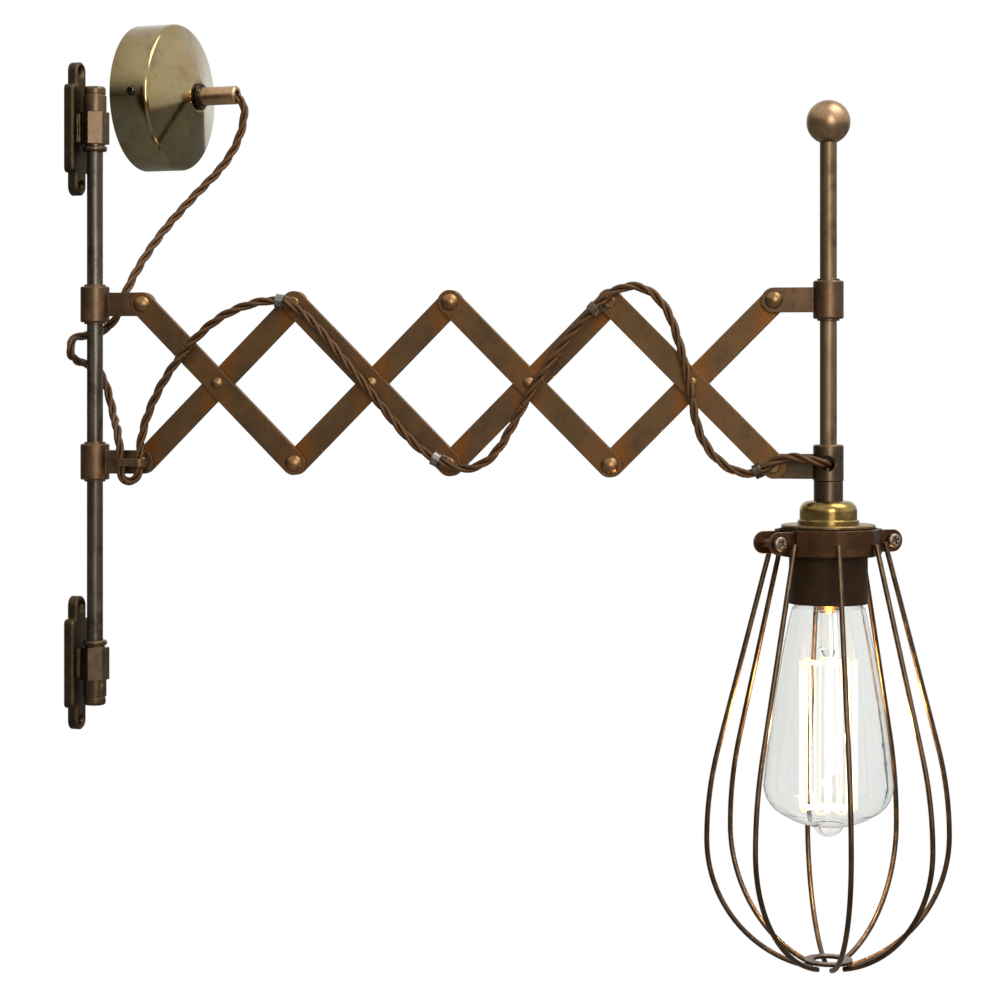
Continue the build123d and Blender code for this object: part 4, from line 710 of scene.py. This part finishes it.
# Clamp screws: two pan-head screws with a cross recess through the ears of the band, each with a
# hex nut behind. Plated steel, dull with age.
screw_steel = aged_metal(
    "screw_steel", (0.24, 0.18, 0.13), (0.34, 0.27, 0.2), (0.09, 0.06, 0.04), (0.7, 0.62, 0.5),
    size=300, rough=(0.25, 0.4), grain=0.05,
)
LAMP_REACH = 0.38775
CAGE_ANGLE = SWIVEL + radians(37.5)
CAGE_DIR = Vector((cos(CAGE_ANGLE), sin(CAGE_ANGLE), 0))
SCREW_DIR = Vector((sin(CAGE_ANGLE), -cos(CAGE_ANGLE), 0))
EAR_REACH = 0.0334
EAR_SEAT = 0.0077
HEAD_R, HEAD_H, HEAD_ROUND = 0.0037, 0.0026, 0.0012
SHANK_R, SHANK_ROUND, TAIL = 0.002, 0.0003, 0.002
NUT_R, NUT_H, NUT_ROUND = 0.00404, 0.0032, 0.0004
RECESS = (0.0044, 0.00105, 0.0034)
screws_low, screws_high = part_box("cage_clamp_screws")
ear_height = (screws_low[2] + screws_high[2]) / 2


def turned_blank(sides, radius, depth, middle, rounding):
    """A bar with rounded rims along the screws' direction, its transform applied to its mesh."""
    bpy.ops.object.select_all(action="DESELECT")
    bpy.ops.mesh.primitive_cylinder_add(vertices=sides, radius=radius, depth=depth, location=middle,
                                        rotation=SCREW_DIR.to_track_quat("Z", "Y").to_euler())
    blank = bpy.context.object
    bpy.ops.object.transform_apply(location=True, rotation=True, scale=True)
    rim = blank.modifiers.new("rim", "BEVEL")
    rim.width = rounding
    rim.segments = 4
    rim.limit_method = "ANGLE"
    rim.angle_limit = radians(50)
    bpy.ops.object.modifier_apply(modifier=rim.name)
    return blank


def work_with(piece, tool, operation):
    """Joins the tool's solid to the piece, or cuts it out of it, and removes the tool."""
    bpy.ops.object.select_all(action="DESELECT")
    bpy.context.view_layer.objects.active = piece
    step = piece.modifiers.new("step", "BOOLEAN")
    step.operation = operation
    step.solver = "EXACT"
    step.object = tool
    bpy.ops.object.modifier_apply(modifier=step.name)
    bpy.data.objects.remove(tool)


def clamp_screw(end, cross_turn):
    """One screw with its nut at an end of the band, its recess turned by an angle."""
    middle = arm_point(LAMP_REACH, 0, ear_height) + CAGE_DIR * (end * EAR_REACH)
    screw = turned_blank(40, HEAD_R, HEAD_H, middle + SCREW_DIR * (EAR_SEAT + HEAD_H / 2), HEAD_ROUND)
    shank_foot = -EAR_SEAT - NUT_H - TAIL
    shank = turned_blank(24, SHANK_R, EAR_SEAT + HEAD_H / 3 - shank_foot,
                         middle + SCREW_DIR * ((EAR_SEAT + HEAD_H / 3 + shank_foot) / 2), SHANK_ROUND)
    nut = turned_blank(6, NUT_R, NUT_H, middle - SCREW_DIR * (EAR_SEAT + NUT_H / 2), NUT_ROUND)
    work_with(screw, shank, "UNION")
    work_with(screw, nut, "UNION")
    for slot in (0, pi / 2):
        bpy.ops.object.select_all(action="DESELECT")
        facing_out = SCREW_DIR.to_track_quat("Z", "Y") @ Quaternion((0, 0, 1), cross_turn + slot)
        bpy.ops.mesh.primitive_cube_add(size=1, scale=RECESS,
                                        location=middle + SCREW_DIR * (EAR_SEAT + HEAD_H),
                                        rotation=facing_out.to_euler())
        cutter = bpy.context.object
        bpy.ops.object.transform_apply(location=True, rotation=True, scale=True)
        work_with(screw, cutter, "DIFFERENCE")
    return screw


front_screw = clamp_screw(1, radians(20))
clamp_screws = clamp_screw(-1, radians(58))
bpy.ops.object.select_all(action="DESELECT")
front_screw.select_set(True)
clamp_screws.select_set(True)
bpy.context.view_layer.objects.active = clamp_screws
bpy.ops.object.join()
clamp_screws.name = "clamp_screws"
bpy.ops.object.shade_smooth_by_angle(angle=radians(35))
clamp_screws.data.materials.clear()
clamp_screws.data.materials.append(screw_steel)
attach(clamp_screws, "lamp_head")
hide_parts("cage_clamp_screws")

# Bulb: a clear blown glass with a sealing pip, on a brass screw cap. Inside are a glass stem,
# steel supports with a faint painted glow, and a long carbon filament that glows warm white.
dress(bright_brass, "bulb_screw_cap")


def clear_glass(name, tint, rough):
    """Clear glass with a faint tint."""
    finish, tree, shader = new_finish(name)
    set_inputs(tree, shader, {"Base Color": tint, "Roughness": rough, "IOR": 1.47,
                              "Transmission Weight": 1.0})
    return finish


dress(clear_glass("bulb_glass_clear", (0.885, 0.897, 0.88), 0.0), "bulb_glass")
dress(clear_glass("stem_glass_clear", (0.97, 0.975, 0.97), 0.03), "bulb_stem")
# painted glow: the supports emit a faint warm light as though lit by the filament, though they are no lamp
support_painted_glow, tree, shader = new_finish("support_wire_painted_glow")
set_inputs(tree, shader, {"Base Color": (0.85, 0.8, 0.7), "Roughness": 0.3,
                          "Emission Color": (1.0, 0.9, 0.74), "Emission Strength": 0.45})
dress(support_painted_glow, "bulb_supports")
FILAMENT_STRANDS, FILAMENT_RING_R, FILAMENT_R = 16, 0.014, 0.00045
HAIRPIN_RISE = 0.0005
COOL_END = 0.008
GLOW_HEIGHT = -0.17
filament_bottom, filament_top = (corner[2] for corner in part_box("bulb_filament"))
# the strands are cool where they are held and white hot along the middle
glow, tree, shader = new_finish("filament_glow")
height = place_along(tree, "Z")
above = span_of(tree, height, filament_bottom, filament_bottom + COOL_END)
below = span_of(tree, height, filament_top, filament_top - COOL_END)
heat = math_node(tree, "MULTIPLY", above, below)
set_inputs(tree, shader, {
    "Base Color": (0.9, 0.72, 0.45), "Emission Strength": 1.1,
    "Emission Color": mix_colours(tree, heat, (0.55, 0.36, 0.2), (1.0, 0.94, 0.8)),
})


def ring_place(strand, height):
    """Place on the filament's ring at a strand's number, or between two, and at a height."""
    angle = SWIVEL + 2 * pi * strand / FILAMENT_STRANDS
    return arm_point(LAMP_REACH, 0, height) + Vector((cos(angle), sin(angle), 0)) * FILAMENT_RING_R


hairpins = []
for strand in range(FILAMENT_STRANDS):
    start, end = filament_bottom, filament_top
    if strand % 2:
        start, end = end, start
    hairpins += [ring_place(strand, start), ring_place(strand, (start + end) / 2), ring_place(strand, end)]
    if strand < FILAMENT_STRANDS - 1:
        past = end + (HAIRPIN_RISE if end > start else -HAIRPIN_RISE)
        hairpins += [ring_place(strand + 0.3, past), ring_place(strand + 0.7, past)]
bpy.ops.object.select_all(action="DESELECT")
bpy.ops.curve.primitive_nurbs_path_add()
filament = bpy.context.object
filament.name = "filament_hairpins"
wire_line = filament.data
wire_line.splines.clear()
add_run(wire_line, hairpins, 5)
wire_line.bevel_depth = FILAMENT_R
wire_line.bevel_resolution = 2
wire_line.use_fill_caps = True
filament.location = (0, 0, 0)
bpy.ops.object.convert(target="MESH")
filament.data.materials.clear()
filament.data.materials.append(glow)
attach(filament, "bulb")
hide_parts("bulb_filament")
glow_data = bpy.data.lights.new("filament_light", "POINT")
glow_data.energy = 0.8
glow_data.color = (1, 0.55, 0.2)
glow_data.shadow_soft_size = 0.001
filament_light = bpy.data.objects.new("filament_light", glow_data)
filament_light.location = arm_point(LAMP_REACH, 0, GLOW_HEIGHT)
filament_light.visible_transmission = False
scene.collection.objects.link(filament_light)
for name in ("bulb_glass", "bulb_stem", "bulb_supports"):
    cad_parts[name].visible_shadow = False
